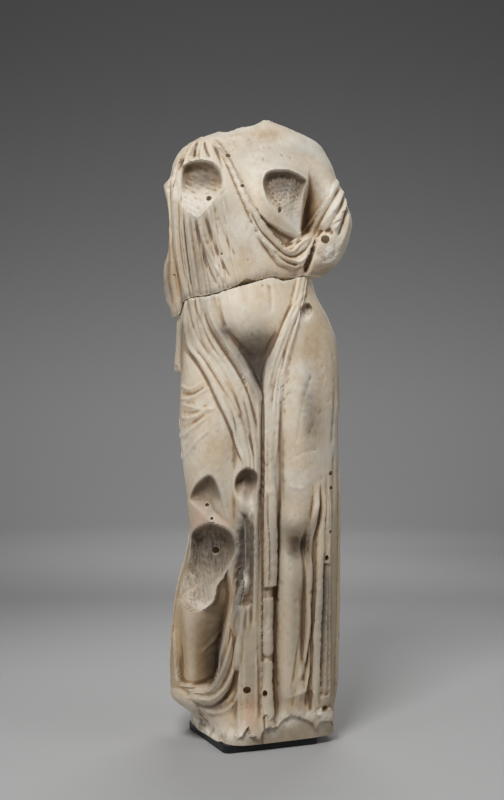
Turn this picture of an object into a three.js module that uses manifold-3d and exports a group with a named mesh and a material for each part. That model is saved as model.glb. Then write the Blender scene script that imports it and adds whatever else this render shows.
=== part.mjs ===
// A headless and armless draped marble figure in two fragments on a low metal base plate.
// Millimetres, +Z up. The front faces -Y, +X is at the viewer's right, and the origin is the
// centre of the plate's underside.
import * as THREE from 'three';
import Module from 'manifold-3d';

const wasm = await Module();
wasm.setup();

// Driving dimensions
const stoneHeight = 1449; // underside of the stone to the top of the neck break
const plateWidth = 234;
const plateDepth = 254;
const plateThickness = 18;
const plateCornerRadius = 16;
const plateEdgeBevel = 1.2;
const plateTurn = 22; // degrees that the plate's front edge is turned from the figure's front
const footingGap = 0.3; // between the plate and the stone that rests on it
const breakGap = 1.2; // between the two fragments at the waist
const dowelHoleDepth = 34;

// The figure's curves are drawn in its own millimetres, at this height, above a floor at 0.
const drawnHeight = 1449;
const drawnFloor = 18;
const wellAbove = 2000; // a height past the top of the figure
const unit = stoneHeight / drawnHeight;
const stoneUnderside = plateThickness + footingGap;
const toPart = ([x, y, z]) => [x * unit, y * unit, stoneUnderside + (z - drawnFloor) * unit];

// How fine the skins are. The lower one's rows are closer over the foot block, and its columns follow
// the folded bands: steps at the viewer's left, over the waist bundle, between the bundles, over the
// hip bundle, over the standing shin, at the right and round the back. The upper one's rows follow the
// rolled edge: steps below it, over it and above it.
const lowerSkin = { rowSteps: [4, 25], columnSteps: [13, 12, 5, 9, 6, 12, 17] };
const upperSkin = { columns: 72, backShare: 0.25, rowSteps: [6, 9, 6] };

// Marble with a warm patina, and dark metal
const marble = () => new THREE.MeshStandardMaterial({ color: 0xcfc3b0, roughness: 0.62, metalness: 0 });
const darkMetal = () => new THREE.MeshStandardMaterial({ color: 0x1f2225, roughness: 0.45, metalness: 0.8 });

// Goes from 0 at `from` to 1 at `to` with level ends
function smooth(from, to, value) {
  const t = Math.min(1, Math.max(0, (value - from) / (to - from)));
  return t * t * (3 - 2 * t);
}

// A smooth curve through [height, value] pairs: cubic pieces with central slopes
function curveThrough(points) {
  const slope = points.map((point, i) => {
    const before = points[Math.max(0, i - 1)];
    const after = points[Math.min(points.length - 1, i + 1)];
    return (after[1] - before[1]) / (after[0] - before[0]);
  });
  return (at) => {
    if (at <= points[0][0]) return points[0][1];
    if (at >= points.at(-1)[0]) return points.at(-1)[1];
    const i = points.findIndex((point) => point[0] > at) - 1;
    const [a, b] = [points[i], points[i + 1]];
    const step = b[0] - a[0];
    const t = (at - a[0]) / step;
    const rise = (3 - 2 * t) * t * t;
    return a[1] * (1 - rise) + b[1] * rise + step * t * (1 - t) * (slope[i] * (1 - t) - slope[i + 1] * t);
  };
}

// Values from one number to another in equal steps
const evenly = (from, to, count) => Array.from({ length: count + 1 }, (_, i) => from + ((to - from) * i) / count);

// A round swelling: 1 at its centre, fading with the squared distance in radii
function swelling(x, z, centreX, centreZ, radiusX, radiusZ) {
  return Math.exp(-(((x - centreX) / radiusX) ** 2) - ((z - centreZ) / radiusZ) ** 2);
}

// A ridge along a curve x = line(z): 1 on the line, fading to each side
const ridge = (x, line, halfWidth) => Math.exp(-(((x - line) / halfWidth) ** 2));

// Signed distance to a closed outline, positive inside it
function insideOutline(x, z, outline) {
  let nearest = Infinity;
  let inside = false;
  outline.forEach(([ax, az], i) => {
    const [bx, bz] = outline[(i + 1) % outline.length];
    const [ex, ez] = [bx - ax, bz - az];
    const t = Math.min(1, Math.max(0, ((x - ax) * ex + (z - az) * ez) / (ex * ex + ez * ez)));
    nearest = Math.min(nearest, Math.hypot(x - ax - t * ex, z - az - t * ez));
    if (az > z !== bz > z && x < ax + ((z - az) / ez) * ex) inside = !inside;
  });
  return inside ? nearest : -nearest;
}

// Closed curve through the outline's corners, with `steps` points for each corner
function rounded(corners, steps) {
  const curve = new THREE.CatmullRomCurve3(corners.map(([x, z]) => new THREE.Vector3(x, 0, z)), true);
  return curve.getPoints(corners.length * steps).slice(0, -1).map((point) => [point.x, point.z]);
}

// Folds side by side between two edges: `across` runs over them, `along` runs with them.
// Each fold is a half sine wave raised to a power below 1, so that the grooves are narrow.
function folds(across, along, band) {
  const [low, high] = [band.low(along), band.high(along)];
  const share = (across - low) / (high - low);
  if (share < 0 || share > 1) return 0;
  const fade = band.fade ?? 50;
  const reach = smooth(band.from, band.from + fade, along) * smooth(band.to, band.to - fade, along);
  const rim = smooth(0, 0.12, share) * smooth(1, 0.88, share);
  const wave = Math.abs(Math.sin(Math.PI * share * band.count)) ** 0.8;
  return reach * (rim * (band.raised ?? 0) + band.height * wave);
}

// Lower fragment: left, right, front and back of its section at each height
const lower = {
  left: curveThrough([[18, -185], [156, -193], [342, -177], [432, -154], [537, -142], [655, -162], [756, -170],
    [925, -167], [1010, -161], [1090, -146]]),
  right: curveThrough([[18, 194], [265, 201], [702, 204], [796, 207], [925, 202], [983, 184], [1040, 154],
    [1095, 136]]),
  front: curveThrough([[18, -112], [300, -108], [550, -116], [850, -112], [1000, -108], [1090, -96]]),
  back: curveThrough([[18, 150], [300, 126], [500, 118], [850, 128], [1000, 108], [1090, 92]]),
  power: curveThrough([[18, 3.4], [500, 2.9], [900, 2.4], [1090, 2.3]]),
};

// Upper fragment, from below the break to above the neck
const upper = {
  left: curveThrough([[980, -160], [1060, -170], [1160, -186], [1341, -191], [1390, -164], [1416, -112],
    [1450, -52], [1480, -44]]),
  right: curveThrough([[980, 130], [1120, 146], [1271, 176], [1321, 186], [1360, 182], [1406, 156], [1442, 84],
    [1456, 50], [1480, 38]]),
  front: curveThrough([[980, -96], [1120, -100], [1260, -116], [1320, -98], [1400, -50], [1480, -26]]),
  back: curveThrough([[980, 98], [1060, 94], [1250, 112], [1330, 112], [1420, 82], [1480, 66]]),
  power: curveThrough([[980, 2.3], [1250, 2.7], [1350, 2.6], [1480, 2]]),
};

// The block under the feet: a turned rounded rectangle with its own reach to each side
const footBlock = { turn: 24, left: 118, right: 172, front: 140, back: 142, power: 5, top: 112, full: 34 };
const bodyAxis = 12; // how far the body's axis lies behind the plate's centre

// Point of a superellipse at an angle from the front: radius = (|s/a|^n + |c/b|^n)^(-1/n)
function superellipse(angle, halfWide, halfDeep, power) {
  const [s, c] = [Math.sin(angle), Math.cos(angle)];
  const radius = (Math.abs(s / halfWide) ** power + Math.abs(c / halfDeep) ** power) ** (-1 / power);
  return [radius * s, -radius * c];
}

// Point of a fragment's plain section at a height
function bodyPoint(body, angle, z) {
  const [left, right] = [body.left(z), body.right(z)];
  const deep = Math.cos(angle) > 0 ? bodyAxis - body.front(z) : body.back(z) - bodyAxis;
  const [x, y] = superellipse(angle, (right - left) / 2, deep, body.power(z));
  return [(left + right) / 2 + x, bodyAxis + y];
}

// Point of the foot block's section
function blockPoint(angle) {
  const turn = THREE.MathUtils.degToRad(footBlock.turn);
  const own = angle - turn;
  const halfWide = Math.sin(own) > 0 ? footBlock.right : footBlock.left;
  const halfDeep = Math.cos(own) > 0 ? footBlock.front : footBlock.back;
  const [u, v] = superellipse(own, halfWide, halfDeep, footBlock.power);
  return [u * Math.cos(turn) - v * Math.sin(turn), u * Math.sin(turn) + v * Math.cos(turn)];
}

// Section of the lower fragment, which turns into the foot block at the bottom
function lowerPoint(angle, z) {
  const block = smooth(footBlock.top, footBlock.full, z);
  const [bodyX, bodyY] = bodyPoint(lower, angle, z);
  const [blockX, blockY] = blockPoint(angle);
  return [bodyX + (blockX - bodyX) * block, bodyY + (blockY - bodyY) * block];
}

// Angle of the point of a section's front half that lies at a given x
function angleAt(section, x, z) {
  let [low, high] = [-Math.PI / 2, Math.PI / 2];
  for (let i = 0; i < 18; i += 1) {
    const middle = (low + high) / 2;
    if (section(middle, z)[0] < x) low = middle;
    else high = middle;
  }
  return (low + high) / 2;
}

// Steps between each value and the next, without the last value itself
function stepsBetween(values, counts) {
  return counts.flatMap((count, i) => Array.from({ length: count }, (_, j) =>
    values[i] + ((values[i + 1] - values[i]) * j) / count));
}

// Angles of the lower skin's columns at one height, from the left side round the front to the back
function guidedAngles(z) {
  const guides = [waistGuide, waistBundle.inner, hipBundle.inner, hipGuide, shinGuide]
    .map((x) => angleAt(lowerPoint, x(z), z));
  return stepsBetween([-Math.PI / 2, ...guides, Math.PI / 2, 1.5 * Math.PI], lowerSkin.columnSteps);
}

// Angles round the body from the front, close together in front and wider apart at the back
function columnAngles({ columns, backShare }) {
  const weight = (angle) => backShare + (1 - backShare) * smooth(-0.35, 0.3, Math.cos(angle));
  const fine = 720;
  const sums = [0];
  for (let i = 0; i < fine; i += 1) sums.push(sums[i] + weight(-Math.PI + ((i + 0.5) * 2 * Math.PI) / fine));
  const angles = [];
  let at = 0;
  for (let j = 0; j < columns; j += 1) {
    const wanted = (j / columns) * sums[fine];
    while (sums[at + 1] < wanted) at += 1;
    const t = (wanted - sums[at]) / (sums[at + 1] - sums[at]);
    angles.push(-Math.PI + ((at + t) * 2 * Math.PI) / fine);
  }
  return angles;
}

// The mouth of the deep hollow round the free calf, and the edges of the folded bands
const calfHollow = rounded([[-44, 350], [-58, 275], [-72, 214], [-98, 152], [-138, 146], [-166, 172], [-172, 250],
  [-168, 340], [-150, 398], [-112, 436], [-60, 440]], 2);
const waistBundle = { // the mantle from the viewer's left hip to the crotch and down
  outer: curveThrough([[560, -26], [641, -21], [720, -45], [808, -82], [880, -120], [930, -156], [1090, -160]]),
  inner: curveThrough([[560, 22], [800, 24], [834, 10], [880, -17], [961, -66], [1010, -82], [1070, -95]]),
};
const hipBundle = { // the same cloth from the right hip
  inner: curveThrough([[560, 26], [800, 26], [873, 34], [943, 60], [1022, 90], [1080, 104]]),
  outer: curveThrough([[560, 62], [661, 60], [841, 78], [954, 106], [1022, 122], [1095, 132]]),
};
const waistGuide = curveThrough([[18, -84], [400, -76], [600, -40], [641, -24], [720, -45], [808, -82], [880, -120],
  [930, -146], [1090, -150]]);
const hipGuide = curveThrough([[18, 56], [400, 56], [661, 60], [841, 78], [954, 104], [1022, 118], [1095, 124]]);
const shinGuide = curveThrough([[18, 84], [90, 92], [220, 114], [480, 132], [700, 148], [960, 146], [1095, 134]]);
const shinGroove = curveThrough([[40, 54], [350, 54], [600, 62], [760, 62]]);
const shinGrooveDepth = curveThrough([[30, 10], [120, 30], [400, 34], [600, 10], [800, 5]]);
const shinGrooveWidth = curveThrough([[60, 10], [420, 10], [520, 5], [800, 4]]);
const shinRidge = curveThrough([[60, 82], [250, 84], [460, 90]]);
const freeThigh = curveThrough([[450, -98], [600, -96], [900, -92]]);
const standingThigh = curveThrough([[450, 92], [600, 104], [900, 128]]);
const freeCalf = curveThrough([[120, -128], [300, -112], [480, -100]]);
const centreGroove = curveThrough([[30, 18], [340, 16], [600, 22], [800, 25]]);

// Rounded masses of the lower fragment: how far the skin stands out of its plain section
function lowerMasses({ x, z, front }) {
  const betweenBundles = Math.min(x - waistBundle.inner(z), hipBundle.inner(z) - x);
  const besideShin = Math.abs(x - shinRidge(z));
  const inHollow = insideOutline(x, z, calfHollow);
  const hollowDepth = 16 + 50 * smooth(-150, -70, x) * smooth(430, 220, z) + 18 * smooth(300, 170, z);
  let out = 12 * swelling(x, z, 2, 985, 95, 62);
  out -= smooth(-2, 12, betweenBundles) * (6 + 24 * smooth(985, 880, z)) * smooth(1030, 960, z);
  out += 26 * ridge(x, freeThigh(z), 62) * smooth(380, 560, z) * smooth(960, 700, z);
  out += 14 * ridge(x, standingThigh(z), 52) * smooth(470, 600, z) * smooth(980, 800, z);
  out += 16 * swelling(x, z, 88, 515, 36, 36) - 9 * swelling(x, z, 84, 440, 40, 30);
  out += 18 * ridge(x, shinRidge(z), 27) * smooth(60, 140, z) * smooth(520, 430, z);
  out -= 14 * smooth(22, 34, besideShin) * smooth(70, 54, besideShin) * smooth(80, 200, z) * smooth(560, 440, z);
  out -= shinGrooveDepth(z) * ridge(x, shinGroove(z), shinGrooveWidth(z)) * smooth(30, 80, z) * smooth(860, 780, z);
  out -= hollowDepth * smooth(-2, 16, inHollow);
  out += 26 * ridge(x, freeCalf(z), 34) * smooth(110, 170, z) * smooth(520, 380, z) * smooth(-10, 20, inHollow);
  out += 26 * smooth(-42, -16, x) * smooth(72, 44, x) * smooth(840, 600, z);
  return out * front;
}

// Folded bands of the lower fragment. Angles are degrees from the front, positive to +X.
const lowerBands = [
  { low: waistBundle.outer, high: waistBundle.inner, from: 560, to: wellAbove, count: 4, height: 9, raised: 9 },
  { low: hipBundle.inner, high: hipBundle.outer, from: 640, to: wellAbove, count: 3, height: 7, raised: 5 },
  { low: shinGuide, high: curveThrough([[60, 184], [640, 182]]), from: 50, to: 620, count: 3, height: 11, raised: 3,
    fade: 80 },
];
const swagBand = { low: curveThrough([[-140, 118], [-104, 98], [-75, 100], [-47, 138], [-27, 190], [-8, 380]]), fade: 18,
  high: curveThrough([[-150, 150], [-98, 148], [-67, 210], [-54, 275], [-34, 420]]), from: -150, to: -6,
  count: 2, height: 9, raised: 4 };
const brokenStrap = { low: curveThrough([[300, 23], [800, 27]]), high: curveThrough([[300, 54], [480, 60], [800, 62]]),
  from: 367, to: wellAbove, count: 2, height: 6, raised: 7, fade: 6 };
const backBand = { low: () => 112, high: () => 250, from: -200, to: 3000, count: 7, height: 9 };
const sideBand = { low: curveThrough([[0, 72], [900, 84]]), high: () => 112, from: 40, to: 700, count: 2, height: 6, fade: 120 };

// Cloth of the lower fragment, on top of its masses
function lowerCloth({ x, z, degrees, front }) {
  const behind = degrees > 0 ? degrees : degrees + 360;
  let out = lowerBands.reduce((sum, band) => sum + folds(x, z, band), 0);
  out += folds(z, x, swagBand) + folds(x, z, brokenStrap) * smooth(900, 600, z);
  out -= 12 * ridge(x, centreGroove(z), 5) * smooth(820, 740, z) * smooth(40, 120, z);
  out *= front;
  out += folds(degrees, z, sideBand) + folds(behind, z, backBand);
  // the edge of the mantle that hangs at the viewer's left hip, broken off at its lower end
  out += 15 * smooth(-90, -97, degrees) * smooth(-128, -116, degrees) * smooth(858, 876, z);
  return out;
}

// Rounded masses of the upper fragment, with the arm stump and the hanging mantle at its sides
const armStump = curveThrough([[1060, 0], [1096, 34], [1120, 58], [1160, 72], [1215, 72], [1260, 50], [1320, 14],
  [1380, 0]]);
const hangingMantle = curveThrough([[960, 40], [1033, 52], [1100, 46], [1180, 14], [1250, 2], [1308, 25], [1332, 2],
  [1480, 0]]);
function upperMasses({ x, z, degrees, front }) {
  let out = 26 * swelling(x, z, 76, 1262, 48, 46) + 22 * swelling(x, z, -104, 1262, 52, 52);
  out -= 22 * swelling(x, z, 134, 1232, 15, 52) + 8 * swelling(x, z, -10, 1290, 40, 60);
  out *= front;
  out += armStump(z) * smooth(52, 76, degrees) * smooth(128, 106, degrees);
  out += hangingMantle(z) * smooth(-93, -99, degrees) * smooth(-140, -120, degrees);
  return out;
}

// Folded bands of the upper fragment: thin cloth on the chest, and the rolled mantle edge that
// hangs from one shoulder to the other arm
const chestBand = { low: curveThrough([[1000, -172], [1200, -190], [1300, -186], [1400, -150]]),
  high: curveThrough([[1000, -18], [1150, -48], [1250, -62], [1400, -90]]), from: 900, to: 1420, count: 6, height: 7 };
const rolledEdge = {
  low: curveThrough([[-110, 1404], [-50, 1262], [-20, 1200], [20, 1140], [60, 1090], [88, 1086], [116, 1096],
    [164, 1170], [220, 1290]]),
  high: curveThrough([[-92, 1410], [-60, 1342], [0, 1240], [36, 1182], [66, 1154], [86, 1148], [106, 1166],
    [166, 1238], [210, 1330]]),
  from: -110, to: 215, count: 3, height: 11, raised: 6, fade: 20 };
const sleeveBand = { low: curveThrough([[1080, 150], [1180, 162], [1300, 200]]),
  high: curveThrough([[1080, 236], [1180, 236], [1300, 218]]), from: 1165, to: 1325, count: 3, height: 8, fade: 30 };
const upperBackBand = { low: () => 122, high: () => 236, from: -200, to: 1400, count: 6, height: 8 };

// Cloth of the upper fragment, on top of its masses
function upperCloth({ x, z, degrees, front }) {
  const behind = degrees > 0 ? degrees : degrees + 360;
  let out = folds(x, z, chestBand) + folds(x, z, sleeveBand);
  out += folds(z, x, rolledEdge) * smooth(1065, 1090, z);
  return out * front + folds(behind, z, upperBackBand);
}

// Moves the rows of points out along their level normals by what `carve` gives at each point
function carveRows(rows, angles, carve) {
  return rows.map((row, i) => row.map(([x, y, z], j) => {
    const before = row[(j - 1 + row.length) % row.length];
    const after = row[(j + 1) % row.length];
    const [tx, ty] = [after[0] - before[0], after[1] - before[1]];
    const length = Math.hypot(tx, ty);
    const [nx, ny] = [ty / length, -tx / length];
    const degrees = THREE.MathUtils.radToDeg(angles[i][j]);
    const out = carve({ x, z, degrees: degrees > 180 ? degrees - 360 : degrees, front: smooth(0.05, 0.45, -ny) });
    return [x + nx * out, y + ny * out, z];
  }));
}

// Solid inside a stack of closed rows of points, closed at both ends by a fan
function solidOfRows(rows) {
  const columns = rows[0].length;
  const middle = (row) => [0, 1, 2].map((axis) => row.reduce((sum, point) => sum + point[axis], 0) / row.length);
  const points = [...rows.flat(), middle(rows[0]), middle(rows.at(-1))];
  const triangles = [];
  for (let i = 0; i < rows.length - 1; i += 1) {
    for (let j = 0; j < columns; j += 1) {
      const next = (j + 1) % columns;
      const [a, b, c, d] = [i * columns + j, i * columns + next, (i + 1) * columns + next, (i + 1) * columns + j];
      triangles.push(a, b, c, a, c, d);
    }
  }
  const lastRow = (rows.length - 1) * columns;
  for (let j = 0; j < columns; j += 1) {
    const next = (j + 1) % columns;
    triangles.push(next, j, points.length - 2, lastRow + j, lastRow + next, points.length - 1);
  }
  return solidOf(points, triangles);
}

// Solid of drawn points and triangles, in the part's frame
function solidOf(points, triangles) {
  const vertProperties = Float32Array.from(points.flatMap(toPart));
  return new wasm.Manifold(new wasm.Mesh({ numProp: 3, vertProperties, triVerts: Uint32Array.from(triangles) }));
}

// Skin of the lower fragment from its underside to above the waist break
function lowerSkinRows() {
  const heights = [...stepsBetween([drawnFloor, 130, 1100], lowerSkin.rowSteps), 1100];
  const angles = heights.map(guidedAngles);
  const plain = heights.map((z, i) => angles[i].map((angle) => [...lowerPoint(angle, z), z]));
  const massed = carveRows(plain, angles, lowerMasses);
  return { massed, carved: carveRows(massed, angles, lowerCloth) };
}

// Height at which a column of the upper skin meets an edge of the roll: in front z = edge(x), found
// by stepping to and fro, and a level line round the back
function rollHeight(edge, angle, levelBehind) {
  let z = levelBehind;
  for (let i = 0; i < 12; i += 1) z = (z + edge(bodyPoint(upper, angle, z)[0])) / 2;
  const x = bodyPoint(upper, angle, z)[0];
  const shown = smooth(0, 0.3, Math.cos(angle)) * smooth(-165, -112, x);
  return levelBehind + (z - levelBehind) * shown;
}

// Skin of the upper fragment from below the waist break to above the neck break
function upperSkinRows() {
  const columns = columnAngles(upperSkin).map((angle) => {
    const [low, high] = [rollHeight(rolledEdge.low, angle, 1170), rollHeight(rolledEdge.high, angle, 1250)];
    return { angle, heights: [...stepsBetween([984, low, high, 1482], upperSkin.rowSteps), 1482] };
  });
  const plain = columns[0].heights.map((_, i) => columns.map(({ angle, heights }) =>
    [...bodyPoint(upper, angle, heights[i]), heights[i]]));
  const angles = plain.map(() => columns.map(({ angle }) => angle));
  const massed = carveRows(plain, angles, upperMasses);
  return { massed, carved: carveRows(massed, angles, upperCloth) };
}

// The waist break: its height at each point, and how far the fragments stand apart there
const breakLine = curveThrough([[-220, 996], [-172, 999], [-163, 1026], [-99, 1035], [-46, 1051], [-2, 1063], [47, 1077],
  [72, 1070], [102, 1078], [122, 1082], [200, 1086]]);
const breakHeight = (x, y) => breakLine(x) + 6 * Math.sin(x * 0.04 + y * 0.03) * smooth(-70, 30, y);
const breakOpening = (x, y) => breakGap / unit + 4 * swelling(x, 0, -168, 0, 8, 1)
  + smooth(-40, -90, y) * (7 * swelling(x, 0, -8, 0, 22, 1) + 3 * swelling(x, 0, 72, 0, 12, 1));

// The neck break: it falls to the front and to the viewer's left
const neckLine = curveThrough([[-150, 1426], [-110, 1436], [-59, 1439], [-15, 1446], [20, 1456], [46, 1467], [90, 1486]]);
const neckHeight = (x, y) => neckLine(x) + 0.32 * (y - 50) + 2.5 * Math.sin(x * 0.08 + y * 0.06);

// Block between two height fields over the same crossing lines
function fieldBlock(xs, ys, bottom, top) {
  const points = [bottom, top].flatMap((height) => xs.flatMap((x) => ys.map((y) => [x, y, height(x, y)])));
  const at = (level, i, j) => (level * xs.length + i) * ys.length + j;
  const triangles = [];
  for (let i = 0; i < xs.length - 1; i += 1) {
    for (let j = 0; j < ys.length - 1; j += 1) {
      const [a, b, c, d] = [at(0, i, j), at(0, i + 1, j), at(0, i + 1, j + 1), at(0, i, j + 1)];
      const up = xs.length * ys.length;
      triangles.push(a, c, b, a, d, c, a + up, b + up, c + up, a + up, c + up, d + up);
    }
  }
  const wall = (a, b, c, d) => triangles.push(a, b, c, a, c, d);
  for (let i = 0; i < xs.length - 1; i += 1) {
    const last = ys.length - 1;
    wall(at(0, i, 0), at(0, i + 1, 0), at(1, i + 1, 0), at(1, i, 0));
    wall(at(0, i + 1, last), at(0, i, last), at(1, i, last), at(1, i + 1, last));
  }
  for (let j = 0; j < ys.length - 1; j += 1) {
    const last = xs.length - 1;
    wall(at(0, 0, j + 1), at(0, 0, j), at(1, 0, j), at(1, 0, j + 1));
    wall(at(0, last, j), at(0, last, j + 1), at(1, last, j + 1), at(1, last, j));
  }
  return solidOf(points, triangles);
}
const breakXs = [-260, -205, -173, -162, ...evenly(-130, 160, 10), 200, 270];
const breakYs = [-190, ...evenly(-120, 130, 5), 190];
const neckXs = [-260, ...evenly(-150, 110, 8), 260];
const neckYs = [-190, ...evenly(-60, 100, 5), 190];

// Depth of a carved skin's front at a place in the front view: that of the nearest front point
function frontAt(rows, x, z) {
  let [nearest, depth] = [Infinity, 0];
  for (const point of rows.flat()) {
    const distance = point[1] < 0 ? Math.hypot(point[0] - x, point[2] - z) : Infinity;
    if (distance < nearest) [nearest, depth] = [distance, point[1]];
  }
  return depth;
}

// A bowl cut in from the front through an outline of [x, z] corners. Its floor follows
// depth * (1 - share^4) from the middle to the rim, deeper toward the top by `tilt`.
function bowl(rows, corners, depth, tilt = 0) {
  const rim = rounded(corners, 1);
  const count = rim.length;
  const centre = [0, 1].map((axis) => rim.reduce((sum, point) => sum + point[axis], 0) / count);
  const halfTall = Math.max(...rim.map((point) => Math.abs(point[1] - centre[1])));
  const clearOfStone = -320;
  const ring = (share, out) => rim.map(([rimX, rimZ]) => {
    const x = centre[0] + (rimX - centre[0]) * share;
    const z = centre[1] + (rimZ - centre[1]) * share;
    const surface = frontAt(rows, rimX, rimZ) * share + frontAt(rows, ...centre) * (1 - share);
    const floor = depth * (1 - share ** 4) * (1 + (tilt * (z - centre[1])) / halfTall);
    return [x, out ? clearOfStone : surface - 1 + floor, z];
  });
  // the rows climb from the floor's middle out to the mouth
  const stack = [ring(0.12), ring(0.55), ring(0.85), ring(1), ring(1, true)];
  return solidOfRows(clockwise(rim) ? stack.map((row) => row.toReversed()) : stack);
}

// Whether an outline of [x, z] corners turns clockwise in the front view
function clockwise(outline) {
  return outline.reduce((sum, [ax, az], i) => {
    const [bx, bz] = outline[(i + 1) % outline.length];
    return sum + (bx - ax) * (bz + az);
  }, 0) > 0;
}

// A drilled hole is a bowl with a round outline
function drilled(rows, x, z, diameter) {
  const sides = evenly(0, 2 * Math.PI, 8).slice(1);
  const outline = sides.map((a) => [x + (diameter / 2) * Math.sin(a), z + (diameter / 2) * Math.cos(a)]);
  return bowl(rows, outline, dowelHoleDepth / unit);
}

// Sockets that held parts now lost, as outlines in the front view
const leftBreastSocket = [[-156, 1319], [-132, 1336], [-97, 1336], [-75, 1320], [-65, 1290], [-85, 1247], [-118, 1211],
  [-140, 1218], [-156, 1236], [-160, 1273]];
const rightBreastSocket = [[25, 1290], [34, 1310], [60, 1317], [86, 1315], [112, 1302], [125, 1288], [116, 1255],
  [112, 1200], [105, 1171], [83, 1189], [54, 1219], [38, 1243]];
const thighRecess = [[-100, 627], [-84, 617], [-72, 591], [-62, 560], [-51, 516], [-98, 526], [-116, 541], [-141, 572],
  [-127, 605]];
const shinSocket = [[-132, 500], [-100, 517], [-75, 513], [-50, 500], [-37, 478], [-37, 450], [-62, 396], [-81, 368],
  [-85, 342], [-117, 320], [-140, 327], [-168, 360], [-156, 415], [-141, 450]];
const kneeRecess = [[-10, 642], [8, 633], [13, 612], [9, 566], [0, 543], [-32, 573], [-39, 602], [-30, 632]];
const hipSocket = { x: 122, z: 995, halfWide: 15, halfTall: 22 };
const hipOutline = evenly(0, 2 * Math.PI, 10).slice(1)
  .map((a) => [hipSocket.x + hipSocket.halfWide * Math.sin(a), hipSocket.z + hipSocket.halfTall * Math.cos(a)]);

// Geometry of a finished solid, with flat faces
function geometryOf(solid) {
  const mesh = solid.getMesh();
  const geometry = new THREE.BufferGeometry();
  geometry.setAttribute('position', new THREE.BufferAttribute(mesh.vertProperties, mesh.numProp));
  geometry.setIndex(new THREE.BufferAttribute(mesh.triVerts, 1));
  geometry.computeVertexNormals();
  return geometry;
}

// Upper torso: cut off at the waist break below and the neck break above
function upperTorso() {
  const { massed, carved } = upperSkinRows();
  const below = fieldBlock(breakXs, breakYs, () => 0, (x, y) => breakHeight(x, y) + breakOpening(x, y));
  const above = fieldBlock(neckXs, neckYs, neckHeight, () => wellAbove);
  const torso = solidOfRows(carved).subtract(below).subtract(above)
    .subtract(bowl(massed, leftBreastSocket, 30, 0.5))
    .subtract(bowl(massed, rightBreastSocket, 26, 0.5))
    .subtract(drilled(massed, 168, 1166, 20));
  return new THREE.Mesh(geometryOf(torso), marble());
}

// Draped lower body with the block under its feet
function lowerBody() {
  const { massed, carved } = lowerSkinRows();
  const above = fieldBlock(breakXs, breakYs, breakHeight, () => wellAbove);
  const body = solidOfRows(carved).subtract(above)
    .subtract(bowl(massed, thighRecess, 26, 0.3))
    .subtract(bowl(massed, shinSocket, 26, 0.4))
    .subtract(bowl(massed, kneeRecess, 24, 0.4))
    .subtract(bowl(massed, hipOutline, 20))
    .subtract(drilled(massed, -84, 451, 18))
    .subtract(drilled(massed, -11, 139, 18))
    .subtract(drilled(massed, 29, 132, 16))
    .subtract(drilled(massed, 158, 98, 16));
  return new THREE.Mesh(geometryOf(body), marble());
}

// Rectangular plate with round corners and a small bevel, turned to follow the foot block
function basePlate() {
  const [halfWide, halfDeep, r] = [plateWidth / 2, plateDepth / 2, plateCornerRadius];
  const outline = new THREE.Shape();
  outline.absarc(halfWide - r, halfDeep - r, r - plateEdgeBevel, 0, Math.PI / 2);
  outline.absarc(r - halfWide, halfDeep - r, r - plateEdgeBevel, Math.PI / 2, Math.PI);
  outline.absarc(r - halfWide, r - halfDeep, r - plateEdgeBevel, Math.PI, 1.5 * Math.PI);
  outline.absarc(halfWide - r, r - halfDeep, r - plateEdgeBevel, 1.5 * Math.PI, 2 * Math.PI);
  outline.closePath();
  const geometry = new THREE.ExtrudeGeometry(outline, { depth: plateThickness - 2 * plateEdgeBevel, curveSegments: 4,
    bevelThickness: plateEdgeBevel, bevelSize: plateEdgeBevel, bevelSegments: 1 });
  geometry.translate(0, 0, plateEdgeBevel);
  geometry.rotateZ(THREE.MathUtils.degToRad(plateTurn));
  return new THREE.Mesh(geometry, darkMetal());
}

const statue = new THREE.Group();
const pieces = { upper_torso: upperTorso(), draped_lower_body: lowerBody(), base_plate: basePlate() };
for (const [name, mesh] of Object.entries(pieces)) {
  mesh.name = name;
  statue.add(mesh);
}

export default statue;
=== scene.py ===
import math
import bpy
import numpy as np
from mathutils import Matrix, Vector


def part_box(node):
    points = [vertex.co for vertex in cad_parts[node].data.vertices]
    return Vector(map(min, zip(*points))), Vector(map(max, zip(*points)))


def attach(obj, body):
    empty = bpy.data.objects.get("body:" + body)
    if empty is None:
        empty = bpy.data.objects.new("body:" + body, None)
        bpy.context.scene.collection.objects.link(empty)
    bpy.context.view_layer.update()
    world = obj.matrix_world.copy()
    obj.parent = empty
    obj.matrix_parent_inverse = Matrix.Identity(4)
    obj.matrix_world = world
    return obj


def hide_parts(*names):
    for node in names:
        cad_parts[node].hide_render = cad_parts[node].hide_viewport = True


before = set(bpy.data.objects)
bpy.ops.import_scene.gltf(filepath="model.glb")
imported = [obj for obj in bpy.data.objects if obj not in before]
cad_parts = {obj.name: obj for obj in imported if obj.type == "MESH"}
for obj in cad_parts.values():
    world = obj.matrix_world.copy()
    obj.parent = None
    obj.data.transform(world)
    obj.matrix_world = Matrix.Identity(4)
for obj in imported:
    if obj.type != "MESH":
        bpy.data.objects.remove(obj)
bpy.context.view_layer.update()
print("frame loaded:", sorted(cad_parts))

# The figure is drawn in its own millimetres above a floor at 0, and fitted to the solids' height
figure = {
    "drawnFloor": 18.0,
    "drawnTop": 1466.6,
    "bodyAxis": 12.0,
}
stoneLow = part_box("draped_lower_body")[0]
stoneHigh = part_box("upper_torso")[1]
mm = (stoneHigh[2] - stoneLow[2]) / (figure["drawnTop"] - figure["drawnFloor"])

# Where the viewer stands: straight in front at mid height, in metres. The picture is 504 by 800.
viewer = {
    "distance": 3.027,
    "height": 0.796,
    "focalPixels": 1276.0,
    "mmPerPixel": 2.26,
    "pictureWide": 504,
    "pictureTall": 800,
    "sensor": 36.0,
}


# Curves and small shape functions

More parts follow.
